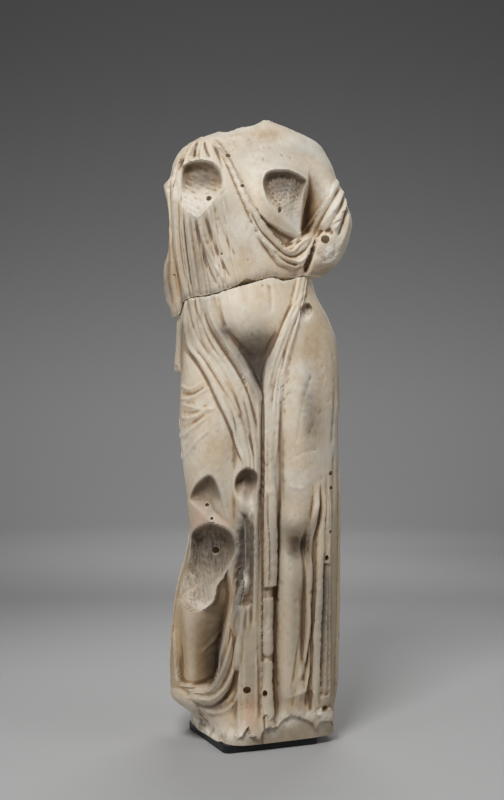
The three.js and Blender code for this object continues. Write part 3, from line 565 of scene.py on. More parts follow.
lowerLines = {
    "waistBundle": [
        (1.8, 5, [(208, 297), (211, 312), (217, 327), (224, 339), (232, 352), (242, 367), (253, 384),
                  (261, 399)]),
        (1.5, -5.5, [(204, 304), (208, 320), (214, 333), (224, 350), (235, 367), (246, 388), (253, 410),
                     (258, 432)]),
        (1.6, 3, [(200, 303), (206, 326), (219, 351), (232, 373), (243, 395), (251, 420)]),
        (1.4, -2.2, [(191, 318), (203, 344), (220, 372), (234, 396), (246, 424), (254, 456)]),
        (1.4, -2, [(198, 349), (211, 369), (226, 393), (240, 416), (249, 440), (255, 462)]),
        (1.8, 3.5, [(184, 342), (198, 359), (209, 377), (218, 396), (229, 418), (237, 438), (242, 456)]),
        (1.4, -2.2, [(183, 348), (196, 364), (207, 382), (216, 401), (227, 423), (235, 443), (240, 460)]),
        (1.5, -3, [(189, 298), (191, 312), (196, 330)]),
        (1.5, -3, [(196, 297), (198, 310), (204, 326)]),
    ],
    "hipBundle": [
        (1.7, 2.4, [(307, 290), (296, 302), (289, 314), (281, 331), (272, 353), (265, 368)]),
        (1.6, -3.4, [(298, 298), (289, 310), (281, 328), (273, 346), (267, 361)]),
        (1.8, 2.6, [(299, 306), (291, 319), (283, 338), (274, 364), (266, 393)]),
        (1.4, -2.5, [(301, 312), (293, 326), (284, 353), (276, 378), (272, 405), (272, 464)]),
        (1.4, -1.5, [(290, 338), (285, 352), (281, 394), (280, 440), (280, 486)]),
    ],
    "pelvis": [
        (1.5, 2.2, [(242, 349), (248, 362), (254, 374)]),
        (1.5, 2.2, [(236, 345), (244, 362), (251, 376)]),
        (2.2, 2.2, [(222, 299), (225, 315), (230, 332)]),
        (2.2, 2, [(229, 295), (232, 310), (237, 325)]),
        (2.4, -2.2, [(218, 296), (221, 311), (226, 328)]),
        (2.2, -2, [(268, 283), (271, 296), (271, 312)]),
    ],
    "thighCreases": [
        (1.5, 3.5, [(180, 385), (191, 389), (203, 382)]),
        (1.5, 4, [(180, 400), (194, 397), (208, 388)]),
        (1.4, 3, [(181, 404), (198, 408.5), (216, 409.5)]),
        (1.5, 3.5, [(180, 418), (194, 417), (207, 410)]),
        (1.5, 4, [(180, 438), (192, 429), (206, 418)]),
        (1.6, 3.5, [(182, 460), (196, 442), (210, 429)]),
        (1.8, -1.2, [(180, 392), (192, 394), (204, 388)]),
        (1.8, -1.2, [(180, 411), (194, 412), (208, 404)]),
        (1.9, -1.2, [(180, 428), (192, 423), (204, 414)]),
    ],
    "standingLeg": [
        (2.2, -1.6, [(295, 457), (304, 452), (317, 449)]),
        (1.8, 1.8, [(288, 485), (297, 488), (306, 487)]),
        (2.6, -2, [(313, 424), (311, 432), (308, 441)]),
        (2.2, -2.5, [(311.5, 374), (308, 386), (304, 398)]),
        (1.8, -1.4, [(304, 398), (300, 420), (297, 444)]),
    ],
    "straps": [
        (2.4, -1.5, [(261.5, 397), (261, 440), (260.5, 500), (260, 560), (259, 640), (258.5, 700),
                     (258.5, 735)]),
        (1.5, -5.5, [(268.3, 489), (268.3, 530), (268.3, 589)]),
        (1.5, -2, [(268, 405), (267.5, 440), (267.5, 486)]),
        (1.4, -2, [(274, 410), (273.5, 440), (273.5, 486)]),
        (2.0, -9, [(239, 528), (238.5, 550), (237.5, 570), (236, 590), (232, 614)]),
        (1.5, 3, [(256, 512), (255, 560), (255, 625)]),
        (1.4, -3, [(252.5, 525), (252, 570), (251, 630)]),
        (1.6, 3, [(249, 560), (248, 600), (248, 632)]),
        (1.6, -4, [(244, 575), (242.5, 610), (241.5, 650)]),
        (1.5, 3, [(240, 640), (239.5, 690), (238.5, 732)]),
        (1.5, 2.5, [(256.5, 655), (256.5, 690), (256, 722)]),
    ],
    "swag": [
        (1.5, 6, [(245, 560), (240, 600), (232, 641), (223, 671), (213, 688), (203, 691.5), (192, 690),
                  (182, 686)]),
        (1.4, -5, [(241, 566), (236, 604), (228, 641), (219, 668), (212, 681)]),
        (1.7, -4.5, [(240, 630), (233, 660), (225, 681), (214, 694), (202, 695)]),
        (1.7, 3.5, [(236, 662), (229, 681), (220, 693), (209, 699), (197, 697)]),
        (1.9, -6, [(239, 668), (232, 689), (220, 702), (210, 706), (199, 703)]),
        (1.9, 3.5, [(240, 690), (234, 703), (224, 711), (213, 713), (203, 710)]),
        (1.9, 1.6, [(227, 622), (219, 634), (211, 643), (201, 652)]),
        (1.5, 4, [(174, 630), (175, 652), (177, 672), (180, 686)]),
    ],
    "shinFolds": [
        (1.9, 5.5, [(319, 484), (316, 503), (310.5, 525), (307, 547), (307, 590), (307, 627), (302, 662),
                    (295, 690)]),
        (1.8, -6.5, [(320, 488), (318, 516), (315, 547), (314, 610), (309, 650), (303, 680)]),
        (1.7, 3.5, [(324, 492), (324, 530), (322, 556)]),
        (1.6, -3.5, [(327, 478), (327, 515), (325, 548)]),
        (1.8, 4.5, [(318, 590), (317, 627), (312, 662), (303, 688), (290, 698)]),
        (1.5, -4, [(311, 600), (311, 630), (305, 662), (298, 686)]),
        (2.0, -6, [(314, 640), (312, 662), (308, 682), (306, 698), (307, 710)]),
        (1.6, -8, [(310, 690), (310, 702), (311, 712)]),
        (1.6, 3.5, [(313, 690), (316, 700), (318, 708)]),
        (1.5, -3.5, [(301, 585), (301, 630), (296, 664), (292, 690)]),
        (1.5, -3, [(335, 388), (334, 415), (332, 446)]),
        (1.6, -4, [(334.5, 452), (334, 490), (333, 522)]),
    ],
}

# Sockets: outline in picture places, depth in mm, how much shallower the bottom is than the top, how
# far in the wall reaches, how much painted light brightens the bottom, and the chisel marks' cell, length,
# width, turn and depth, with their strength above and below and the share of fine strokes
sockets = {
    "leftBreast": {
        "outline": [(183, 168), (193, 161), (209, 161), (219, 168), (223, 179), (222, 189), (214, 200),
                    (200, 216), (191, 213), (183, 206), (181, 188)],
        "depth": 38, "topShare": 0.6, "wall": 20,
        "chisel": (5.4, 1.7, 0.9, 24, 5.0), "marks": (1.0, 0.7), "fine": 0.2, "pale": 1.2,
    },
    "rightBreast": {
        "outline": [(263, 180), (267, 172), (276, 169.5), (290, 170), (302, 176), (307, 181), (304, 190),
                    (302.5, 200), (301.5, 221), (299, 234), (289, 226), (276, 212), (269, 203), (264, 190)],
        "depth": 34, "topShare": 0.68, "wall": 15,
        "chisel": (4.0, 1.25, 0.85, 50, 3.2), "marks": (1.2, 0.1), "fine": 0.4, "pale": 1.4,
    },
    "thigh": {
        "outline": [(208, 475), (215, 479), (220, 491), (224, 503), (228, 517), (230, 526), (209, 521),
                    (202, 514), (191, 502), (189.5, 497), (196, 484)],
        "depth": 32, "topShare": 0.5, "wall": 22, "chisel": None, "pale": 0.2,
    },
    "shin": {
        "outline": [(193, 531), (208, 523), (219, 525), (230, 531), (235, 540), (236, 552), (232, 562),
                    (224, 577), (217, 587), (215, 598), (210, 606), (200, 611), (190, 608), (183, 600),
                    (177, 593), (183, 569), (189, 560), (190.5, 545)],
        "depth": 46, "topShare": 0.42, "wall": 24,
        "chisel": (3.2, 3.4, 0.8, 58, 4.6), "marks": (1.0, 0.8), "fine": 1.0, "pale": 0.6,
    },
    "knee": {
        "outline": [(247.5, 468), (255, 471), (258, 479), (257, 491), (256, 503), (253, 513), (245, 507),
                    (238, 499), (234.5, 487), (236, 477), (241.5, 470)],
        "depth": 36, "topShare": 0.55, "wall": 15, "chisel": None, "pale": 1.3,
    },
    "hip": {
        "outline": [(306, 302), (312, 306), (313, 313), (309, 320), (304, 321.5), (300, 317), (299.5, 309)],
        "depth": 20, "topShare": 0.55, "wall": 9, "chisel": None, "pale": 1.2,
    },
}


def cutSocket(skin, socket):
    # a bowl pushed back from its outline: 1 - (1 - inside / wall)^2, steep at the top and gentle at
    # the bottom, deepest in its upper part
    u, v = skin["u"], skin["v"]
    outline = roundedLine(socket["outline"], True, 4)
    low, high = outline.min(0) - 3, outline.max(0) + 3
    near = (u > low[0]) & (u < high[0]) & (v > low[1]) & (v < high[1]) & (skin["y"] < 0)
    inside = insideOutline(u[near], v[near], outline) * viewer["mmPerPixel"]
    down = np.clip((v[near] - outline[:, 1].min()) / np.ptp(outline[:, 1]), 0, 1)
    wall = socket["wall"] * (1 + 1.1 * smoothStep(0.2, 0.9, down))
    bowl = 1 - (1 - np.clip(inside / wall, 0, 1)) ** 2
    slope = 1 - socket["topShare"] * smoothStep(0.2, 1.0, down)
    depth = socket["depth"] * bowl * slope * (inside > 0)
    if socket["chisel"]:
        cell, length, width, turn, height = socket["chisel"]
        above, below = socket["marks"]
        strength = smoothStep(1.5, 9, inside) * (above + (below - above) * smoothStep(0.3, 0.8, down))
        depth += height * (dents(u[near], v[near], cell, length, width, turn, 3.0) - 0.3) * strength
        skin["chisel"][near] = np.maximum(skin["chisel"][near], strength * socket["fine"])
    skin["y"][near] += depth
    # recess: the inside of the socket, strongest at its top, later tan and brown: partly the socket's own
    # colour, partly painted shade
    skin["recess"][near] = np.maximum(skin["recess"][near], smoothStep(0, 3, inside) * slope)
    # painted light: the socket's bottom, which faces up, is brightened
    bright = socket["pale"] * smoothStep(1, 5, inside) * smoothStep(0.4, 0.95, down)
    skin["bright"][near] = np.maximum(skin["bright"][near], bright)


def lineUp(skin):
    # picture places of every point, and the masks that later steps fill
    skin["u"], skin["v"] = pictureOf(skin["x"], skin["y"], skin["z"])
    skin["recess"] = np.zeros(skin["x"].shape)
    skin["chisel"] = np.zeros(skin["x"].shape)
    skin["bright"] = np.zeros(skin["x"].shape)


def outsideSockets(skin, names):
    # 0 inside the sockets' outlines and 1 outside, so that no cloth is left in a socket
    free = np.ones(skin["x"].shape)
    for name in names:
        outline = roundedLine(sockets[name]["outline"], True, 4)
        free *= np.where(insideOutline(skin["u"], skin["v"], outline) > 0, 0.0, 1.0)
    return np.where(skin["y"] < 0, free, 1.0)


def carvePanels(panels):
    # raised or sunk areas with an edge of the given width inside their outlines
    def carve(skin):
        total = np.zeros(skin["x"].shape)
        for edge, height, outline in panels.values():
            curve = np.array(outline, float)
            low, high = curve.min(0), curve.max(0)
            u, v = skin["u"], skin["v"]
            near = (u > low[0]) & (u < high[0]) & (v > low[1]) & (v < high[1])
            rough = 0.35 * np.sin(v[near] * 0.7) + 0.25 * np.sin(v[near] * 1.9 + u[near])
            total[near] += height * smoothStep(0, edge, insideOutline(u[near], v[near], curve) + rough)
        return total * skin["front"]
    return carve


def carveLines(lines):
    # all strokes of a fragment, in front only
    def carve(skin):
        return sum(strokes(skin["u"], skin["v"], group) for group in lines.values()) * skin["front"]
    return carve


def flatten(skin, areas):
    # inside each outline the stone goes back to its plain section and gets painted shade in grey
    for edge, outline in areas.values():
        inside = insideOutline(skin["u"], skin["v"], np.array(outline, float))
        share = smoothStep(0, edge, inside) * (skin["plainY"] < 0)
        # painted shade: the set-back face is darkened
        skin["grey"] = np.clip(skin["grey"] + 0.6 * share, 0, 1)
        skin["y"] += (skin["plainY"] - skin["y"]) * share
        skin["x"] += (skin["plainX"] - skin["x"]) * share


pittedAreas = [(284, 388, 12, 22), (312, 432, 7, 12), (245, 385, 8, 14), (225, 355, 5, 8), (267, 625, 7, 30),
               (325, 640, 5, 60), (246, 700, 8, 20), (322, 590, 8, 30), (330, 250, 10, 12), (268, 460, 8, 40)]

brokenArm = (331, 253, 11, 13)  # place and radii of the rough end of the arm


def weather(skin):
    # slow waves, small waves and scattered pits and chips, more of them in the pitted areas
    x, y, z = skin["x"], skin["y"], skin["z"]
    out = 0.8 * uneven(x, y, z, 120, 1.0) + 0.35 * uneven(x, y, z, 34, 2.0) + 0.15 * uneven(x, y, z, 13, 3.0)
    out -= 1.8 * dents(skin["degrees"] * 3.0, z, 13, 1.0, 1.0, 20, 5.0, 0.04)
    out -= 1.2 * dents(skin["degrees"] * 3.0, z, 6.5, 1.3, 0.8, 60, 6.0, 0.05)
    pitted = sum(swelling(skin["u"], skin["v"], *area) for area in pittedAreas) * skin["front"]
    broken = swelling(skin["u"], skin["v"], *brokenArm) * skin["front"]
    out += broken * (2.6 * uneven(x, y, z, 30, 5.0) + 1.6 * uneven(x, y, z, 12, 6.0))
    out -= 2.4 * np.clip(pitted, 0, 1) * dents(skin["degrees"] * 3.0, z, 7.5, 1.2, 0.9, 35, 8.0, 0.45)
    return out


# Breaks: height fields over x and y, in mm

breakLine = curveThrough([(-220, 996), (-172, 999), (-163, 1026), (-99, 1035), (-46, 1051), (-2, 1063),
                          (47, 1077), (72, 1070), (102, 1078), (122, 1082), (200, 1086)])
neckLine = curveThrough([(-150, 1426), (-110, 1437), (-59, 1443), (-15, 1451), (10, 1460), (27, 1471),
                         (46, 1474), (90, 1490)])
breaks = {  # gap, roughness, fall of the neck; chips as height, middle and half width in mm
    "gap": 1.2, "rough": 1.6, "neckFall": 0.32, "frontChip": 2.2,
    "middleChip": (11, -14, 18), "rightChip": (8, 74, 13), "mantleChip": (4, -168, 8),
}


def breakHeight(x, y):
    # the break's line across the front, waved toward the back, with fine roughness
    slow = 6 * np.sin(x * 0.04 + y * 0.03) * smoothStep(-70, 30, y)
    fine = breaks["rough"] * (uneven(x, y, 0 * x, 26, 1.7) + 0.7 * uneven(x, y, 0 * x, 9, 4.2))
    return breakLine(x) + slow + fine


def breakOpening(x, y):
    # the narrow gap, wider where the edges are chipped in front and at the mantle
    def chip(name):
        height, middle, halfWidth = breaks[name]
        return height * ridge(x, middle, halfWidth)
    chipped = smoothStep(-40, -90, y) * (breaks["frontChip"] + chip("middleChip") + chip("rightChip"))
    return breaks["gap"] + 0.8 + chip("mantleChip") + chipped


def neckHeight(x, y):
    # falls to the front and to the left, with fine roughness
    fine = breaks["rough"] * (uneven(x, y, 0 * x, 30, 2.7) + 0.7 * uneven(x, y, 0 * x, 11, 5.2))
    return neckLine(x) + breaks["neckFall"] * (y - 50) + 2.5 * np.sin(x * 0.08 + y * 0.06) + fine


# Building meshes

surfaces = {"stone": 0, "broken": 1, "drilled": 2}  # places of the materials on each fragment


def placeInFrame(points):
    # drawn millimetres to metres in the frame
    moved = points * mm
    moved[:, 2] = stoneLow[2] + (points[:, 2] - figure["drawnFloor"]) * mm
    return moved


def makeMesh(name, points, faces, surface=surfaces["stone"]):
    # an object of the given points and faces, all in one material
    mesh = bpy.data.meshes.new(name)
    mesh.from_pydata(placeInFrame(points).tolist(), [], faces.tolist())
    mesh.polygons.foreach_set("material_index", np.full(len(mesh.polygons), surface, dtype=np.int32))
    mesh.update()
    piece = bpy.data.objects.new(name, mesh)
    bpy.context.scene.collection.objects.link(piece)
    return piece


def closedSkin(name, skin):
    # quads between rows and columns as triangles, with a fan to the middle at each end
    x, y, z = skin["x"], skin["y"], skin["z"]
    rows, columns = x.shape
    points = np.stack([x, y, z], -1).reshape(-1, 3)
    ends = np.array([[x[0].mean(), y[0].mean(), z[0].mean()], [x[-1].mean(), y[-1].mean(), z[-1].mean()]])
    i, j = np.meshgrid(np.arange(rows - 1), np.arange(columns), indexing="ij")
    k = (j + 1) % columns
    a, b, c, d = i * columns + j, i * columns + k, (i + 1) * columns + k, (i + 1) * columns + j
    sides = np.concatenate([np.stack([a, b, c], -1).reshape(-1, 3), np.stack([a, c, d], -1).reshape(-1, 3)])
    ring = np.arange(columns)
    after = (ring + 1) % columns
    count = rows * columns
    last = (rows - 1) * columns
    bottom = np.stack([after, ring, np.full(columns, count)], -1)
    top = np.stack([last + ring, last + after, np.full(columns, count + 1)], -1)
    piece = makeMesh(name, np.vstack([points, ends]), np.concatenate([sides, bottom, top]))
    for key in ("recess", "bright", "chisel", "groove", "ochre", "grey", "dark", "pale", "rose"):
        values = skin.get(key, np.zeros(x.shape))
        attribute = piece.data.attributes.new(key, "FLOAT", "POINT")
        attribute.data.foreach_set("value", np.concatenate([values.reshape(-1), [0, 0]]).astype(np.float32))
    return piece


def fieldBlock(name, xs, ys, bottom, top, surface):
    # closed block between two height fields over the same crossing lines
    x, y = np.meshgrid(xs, ys, indexing="ij")
    layer = [np.stack([x, y, height(x, y)], -1).reshape(-1, 3) for height in (bottom, top)]
    n, m = x.shape
    i, j = np.meshgrid(np.arange(n - 1), np.arange(m - 1), indexing="ij")
    a, b, c, d = i * m + j, (i + 1) * m + j, (i + 1) * m + j + 1, i * m + j + 1
    up = n * m
    flat = lambda *corners: np.stack(corners, -1).reshape(-1, len(corners))
    faces = [flat(a, c, b), flat(a, d, c), flat(a + up, b + up, c + up), flat(a + up, c + up, d + up)]
    edge = np.concatenate([np.arange(n) * m, (n - 1) * m + np.arange(1, m),
                           np.arange(n - 2, -1, -1) * m + m - 1,
                           np.arange(m - 2, 0, -1)])
    after = np.roll(edge, -1)
    faces += [flat(edge, after, after + up), flat(edge, after + up, edge + up)]
    return makeMesh(name, np.vstack(layer), np.concatenate(faces), surface)


def drillHoles(name, skin, holes):
    # cones with round sides, from in front of the stone to a depth behind its surface
    sides = 20
    turn = np.arange(sides) * 2 * math.pi / sides
    pixel = viewer["mmPerPixel"]
    points, faces = [], []
    for u, v, wide, tall, depth in holes:
        reach = np.where(skin["y"] < 20, np.hypot(skin["u"] - u, skin["v"] - v), 1e9)
        i, j = np.unravel_index(np.argmin(reach), reach.shape)
        x, y, z = skin["x"][i, j], skin["y"][i, j], skin["z"][i, j]
        start = sum(len(p) for p in points)
        for share, back in ((1.0, -60.0), (1.0, depth * 0.55), (0.75, depth * 0.85)):
            ringX = x + wide * pixel / 2 * share * np.cos(turn)
            ringZ = z + tall * pixel / 2 * share * np.sin(turn)
            points.append(np.stack([ringX, np.full(sides, y + back), ringZ], -1))
        points.append(np.array([[x, y - 60.0, z], [x, y + depth, z]]))
        k = np.arange(sides)
        n = (k + 1) % sides
        front, back = start + 3 * sides, start + 3 * sides + 1
        rings = [start, start + sides, start + 2 * sides]
        faces.append(np.stack([rings[0] + n, np.full(sides, front), rings[0] + k], -1))
        for near, far in zip(rings[:-1], rings[1:]):
            faces.append(np.stack([near + k, far + k, far + n], -1))
            faces.append(np.stack([near + k, far + n, near + n], -1))
        faces.append(np.stack([rings[2] + k, np.full(sides, back), rings[2] + n], -1))
    return makeMesh(name, np.vstack(points), np.concatenate(faces), surfaces["drilled"])


def subtract(piece, cutter):
    # boolean difference, applied, and the cutter removed
    cut = piece.modifiers.new("cut", "BOOLEAN")
    cut.operation = "DIFFERENCE"
    cut.solver = "MANIFOLD"
    cut.object = cutter
    evaluated = piece.evaluated_get(bpy.context.evaluated_depsgraph_get())
    mesh = bpy.data.meshes.new_from_object(evaluated)
    piece.modifiers.clear()
    old = piece.data
    piece.data = mesh
    bpy.data.meshes.remove(old)
    bpy.data.objects.remove(cutter)


def creviceOf(skin):
    # how far a point lies behind the mean of its neighbours, at two reaches, from 0 to 1
    def blur(values, reach):
        kernel = np.ones(2 * reach + 1) / (2 * reach + 1)
        wide = np.concatenate([values[:, -reach:], values, values[:, :reach]], 1)
        wide = np.apply_along_axis(lambda row: np.convolve(row, kernel, "valid"), 1, wide)
        tall = np.concatenate([wide[:1]] * reach + [wide] + [wide[-1:]] * reach, 0)
        return np.apply_along_axis(lambda column: np.convolve(column, kernel, "valid"), 0, tall)
    nx, ny = outwardNormals(blur(skin["x"], 4), blur(skin["y"], 4))
    total = np.zeros(skin["x"].shape)
    for reach, scale in ((3, 2.0), (8, 6.0)):
        behind = (blur(skin["x"], reach) - skin["x"]) * nx + (blur(skin["y"], reach) - skin["y"]) * ny
        total += 0.5 * np.clip(behind / scale, -1, 1)
    return total


# Stains with painted shade and light, laid out in picture places: centre, radii and strength of bells

stainsAndPaintedLight = {
    # ochre patina, with painted shade in the armpit and under the broken arm
    "ochre": [(309, 206, 7, 26, 1.0), (325, 268, 14, 6, 1.0), (318, 425, 12, 40, 0.6),
              (300, 545, 10, 12, 0.5), (176, 260, 7, 60, 0.9), (168, 290, 8, 36, 1.0),
              (177, 345, 7, 40, 1.0), (338, 470, 5, 90, 0.5), (338, 620, 5, 90, 0.5),
              (342, 225, 8, 30, 0.35), (340, 258, 18, 12, 0.5), (275, 225, 16, 14, 0.4),
              (309, 215, 10, 22, 0.8), (225, 129, 20, 6, 1.0), (268, 135, 14, 6, 0.8),
              (205, 138, 14, 6, 0.5), (247, 258, 14, 16, 0.4), (300, 268, 16, 6, 0.9),
              (270, 332, 10, 18, 0.6), (262, 300, 16, 12, 0.3), (312, 330, 12, 22, 0.5),
              (212, 440, 24, 22, 0.35), (234, 650, 7, 50, 0.9), (237, 600, 4, 40, 0.8),
              (205, 670, 14, 18, 0.5), (176, 640, 7, 60, 0.5), (321, 500, 7, 50, 0.4),
              (215, 360, 24, 40, 0.3), (187, 172, 16, 30, 0.4), (186, 176, 6, 12, 0.8),
              (216, 186, 5, 14, 0.7), (303, 345, 12, 18, 0.4), (190, 645, 22, 36, 0.7),
              (200, 650, 16, 30, 0.5), (326, 605, 5, 42, 1.0), (318, 345, 14, 24, 0.4),
              (198, 245, 16, 40, 0.4), (255, 412, 5, 30, 0.5), (285, 740, 24, 8, 0.3)],
    # painted shade in grey: the pelvis, the curtain, under the knee, the mantle fin, the socket tops and
    # other hollows
    "grey": [(300, 152, 26, 18, 0.4), (250, 150, 30, 20, 0.3), (311, 420, 9, 30, 0.55),
             (248, 565, 9, 52, 1.0), (256, 352, 13, 26, 1.0), (257, 384, 5, 14, 1.0),
             (203, 315, 18, 30, 0.6), (243, 345, 18, 24, 0.35), (196, 256, 15, 38, 0.75),
             (210, 560, 26, 40, 0.4), (323, 650, 9, 60, 0.8), (270, 450, 11, 60, 0.45),
             (269, 550, 9, 46, 0.3), (250, 680, 10, 34, 0.5), (296, 210, 18, 22, 0.3),
             (290, 186, 16, 14, 0.7), (200, 635, 24, 30, 0.3), (186, 335, 10, 16, 0.6),
             (268, 640, 10, 60, 0.3), (318, 425, 12, 22, 0.3), (215, 490, 12, 20, 0.5),
             (247, 478, 8, 12, 0.8), (326, 605, 5, 42, 1.0), (300, 546, 8, 13, 0.8), (334, 415, 2, 34, 0.5),
             (247, 545, 8, 26, 0.6), (245, 425, 14, 30, 0.4), (214, 545, 22, 22, 0.4),
             (166, 285, 8, 45, 0.9), (178, 342, 5, 36, 0.6), (256, 515, 4, 60, 0.4), (212, 707, 18, 8, 0.8),
             (205, 170, 14, 8, 0.6), (284, 178, 16, 8, 0.7), (308, 392, 7, 30, 0.6), (212, 556, 20, 26, 0.7),
             (298, 600, 16, 60, 0.25)],
    # pale chips and the fresh break of the arm, with painted highlights on lit tops over the plinth, at the
    # bevel and on socket bottoms
    "pale": [(331, 253, 8, 9, 1.0), (206, 203, 12, 8, 0.5), (296, 218, 7, 12, 0.5), (200, 606, 10, 4, 0.5),
             (247.5, 581, 2, 6, 0.9), (267, 630, 6, 16, 0.3), (286, 722, 12, 6, 0.6), (305, 315, 6, 7, 1.0),
             (300, 715, 20, 5, 0.7), (242, 735, 12, 6, 0.7), (322, 715, 9, 10, 0.6), (252, 506, 5, 6, 0.8),
             (215, 270, 10, 20, 0.3), (184, 710, 18, 16, 0.35), (216, 736, 20, 12, 0.7),
             (198, 722, 16, 12, 0.6), (340, 176, 3, 3, 0.9)],
    # painted shade: dark under the knee, beside the calf, in the pelvis, the curtain and other hollows
    "dark": [(243, 545, 7, 32, 1.0), (247, 540, 6, 26, 0.5), (336, 686, 4, 20, 0.4), (245, 430, 10, 30, 0.2),
             (238, 568, 3, 42, 0.8), (257, 374, 9, 20, 0.75), (252, 354, 15, 15, 0.5),
             (243, 350, 16, 16, 0.45), (226, 331, 9, 9, 0.9), (212, 668, 9, 26, 0.8), (219, 648, 5, 24, 0.6),
             (222, 622, 5, 22, 0.5), (268, 350, 7, 18, 0.4), (241, 602, 5, 34, 0.7), (166, 296, 7, 34, 0.9),
             (291, 550, 8, 12, 0.6), (302, 546, 8, 12, 0.6), (206, 500, 14, 16, 0.35),
             (212, 545, 20, 20, 0.3), (324, 608, 5, 46, 0.6), (260, 480, 2, 90, 0.5), (311, 560, 3, 60, 0.4),
             (204, 176, 12, 7, 0.5), (283, 182, 14, 7, 0.5), (330, 262, 8, 8, 0.3), (227, 676, 7, 26, 0.3)],
    "rose": [(199, 518, 9, 11, 0.8), (224, 523, 8, 5, 0.7), (250, 715, 7, 18, 0.7), (300, 270, 10, 5, 0.5)],
}


def spotsOf(skin, spots):
    # sum of bells in the picture, on the front half, up to 1
    total = np.zeros(skin["x"].shape)
    for u, v, wide, tall, strength in spots:
        total += strength * swelling(skin["u"], skin["v"], u, v, wide, tall)
    return np.clip(total, 0, 1) * smoothStep(110, 60, skin["y"])


def finishSkin(skin, cloth, panels, lines, socketNames):
    # cloth, panels, lines, sockets, wear, and stains with painted shade and light, in that order
    free = outsideSockets(skin, socketNames)
    for carve in (cloth, carvePanels(panels), carveLines(lines)):
        pushOut(skin, lambda part: carve(part) * np.where(part["front"] > 0.2, free, 1.0))
    for name in socketNames:
        cutSocket(skin, sockets[name])
    pushOut(skin, weather)
    # groove: how far each point lies in a crease; the material paints shade there
    skin["groove"] = creviceOf(skin)
    for key, spots in stainsAndPaintedLight.items():
        skin[key] = spotsOf(skin, spots)
    fromBreak = skin["z"] - breakHeight(skin["x"], skin["y"])
    skin["pale"] = np.clip(skin["pale"] + 0.8 * np.exp(-((fromBreak + 2) / 3) ** 2), 0, 1)
    # painted shade in grey under the upper fragment's lip, just above the waist break
    skin["grey"] = np.clip(skin["grey"] + 0.7 * np.exp(-((fromBreak - 7) / 7) ** 2), 0, 1)
    skin["ochre"] = np.clip(skin["ochre"] + 0.45 * (1 - skin["front"]), 0, 1)


# Drilled holes: picture place, width and height in pixels, and depth in mm
drilledHoles = {
    "upper": [(228, 156, 5, 5, 20), (241, 186, 4, 4, 16), (283, 244, 3.6, 3.6, 12), (326, 239, 9, 9, 34),
              (221.5, 254, 2.5, 2.5, 8), (208.5, 197, 5.5, 5.5, 26), (279.5, 209, 4, 7, 20)],
    "lower": [(215, 553, 8, 8, 34), (207, 506, 4, 4, 16), (211.5, 518.5, 3, 3, 14), (247, 690.5, 8, 8, 30),
              (265, 694, 5, 7, 26), (322.5, 708.5, 6.5, 6, 26), (331, 473, 4, 5, 22), (331, 487, 3.5, 4, 22),
              (328, 531, 4, 4, 22), (324.5, 557.5, 4, 6, 26)],
}
# The armpit hollow and the lip of the broken hem, between picture places; depth and height in mm
armpit = {"depth": 42, "edge": 300, "lean": 8, "leaning": (232, 176), "outer": (337, 306),
          "upper": (166, 202),
          "lower": (240, 226)}
hemLip = {"height": 8, "upper": (700, 717), "left": (270, 280), "right": (338, 330)}
breakGrid = (np.linspace(-260, 270, 150), np.linspace(-190, 190, 110))


def armpitHollow(u, v):
    # depth times one soft step for each side, the inner side leaning with the breast
    edge = armpit["edge"] + armpit["lean"] * smoothStep(*armpit["leaning"], v)
    across = smoothStep(edge, edge + 2.5, u) * smoothStep(*armpit["outer"], u)
    return armpit["depth"] * across * smoothStep(*armpit["upper"], v) * smoothStep(*armpit["lower"], v)


def makeUpper():
    # plain section, masses, armpit, lip over the waist break, fine work, then the two breaks and the holes
    skin = startSkin(upperBody, lambda angle, z: bodySection(upperBody, angle, z))
    pushOut(skin, upperMasses)
    lineUp(skin)
    skin["y"] += armpitHollow(skin["u"], skin["v"]) * skin["front"]
    overBreak = (skin["z"] - breakHeight(skin["x"], skin["y"])) / 16
    lip = 9 * np.exp(-overBreak ** 2) * smoothStep(-110, -20, skin["x"]) * smoothStep(125, 90, skin["x"])
    skin["y"] += lip * skin["front"]
    finishSkin(skin, upperCloth, upperPanels, upperLines, ["leftBreast", "rightBreast"])
    piece = closedSkin("upper_fragment", skin)
    opened = lambda x, y: breakHeight(x, y) + breakOpening(x, y)
    # the face at the waist gap takes the dark drilled colour: painted shade in the gap
    subtract(piece, fieldBlock("below", *breakGrid, lambda x, y: 0 * x, opened, surfaces["drilled"]))
    subtract(piece, fieldBlock("above", *breakGrid, neckHeight, lambda x, y: 0 * x + 2000,
                               surfaces["broken"]))
    subtract(piece, drillHoles("drill", skin, drilledHoles["upper"]))
    return piece


def makeLower():
    # plain section, masses, hem lip, fine work, flat plinth face, then the waist break and the holes
    skin = startSkin(lowerBody, lowerSection)
    lineUp(skin)
    skin["besideSocket"] = outsideSockets(skin, ["shin"])
    pushOut(skin, lowerMasses)
    lineUp(skin)
    across = smoothStep(*hemLip["left"], skin["u"]) * smoothStep(*hemLip["right"], skin["u"])
    skin["y"] -= hemLip["height"] * smoothStep(*hemLip["upper"], skin["v"]) * across * skin["front"]
    finishSkin(skin, lowerCloth, lowerPanels, lowerLines, ["thigh", "shin", "knee", "hip"])
    flatten(skin, flatAreas)
    skin["z"][0] = figure["drawnFloor"]
    piece = closedSkin("lower_fragment", skin)
    subtract(piece, fieldBlock("above", *breakGrid, breakHeight, lambda x, y: 0 * x + 2000,
                               surfaces["broken"]))
    subtract(piece, drillHoles("drill", skin, drilledHoles["lower"]))
    return piece


# Materials

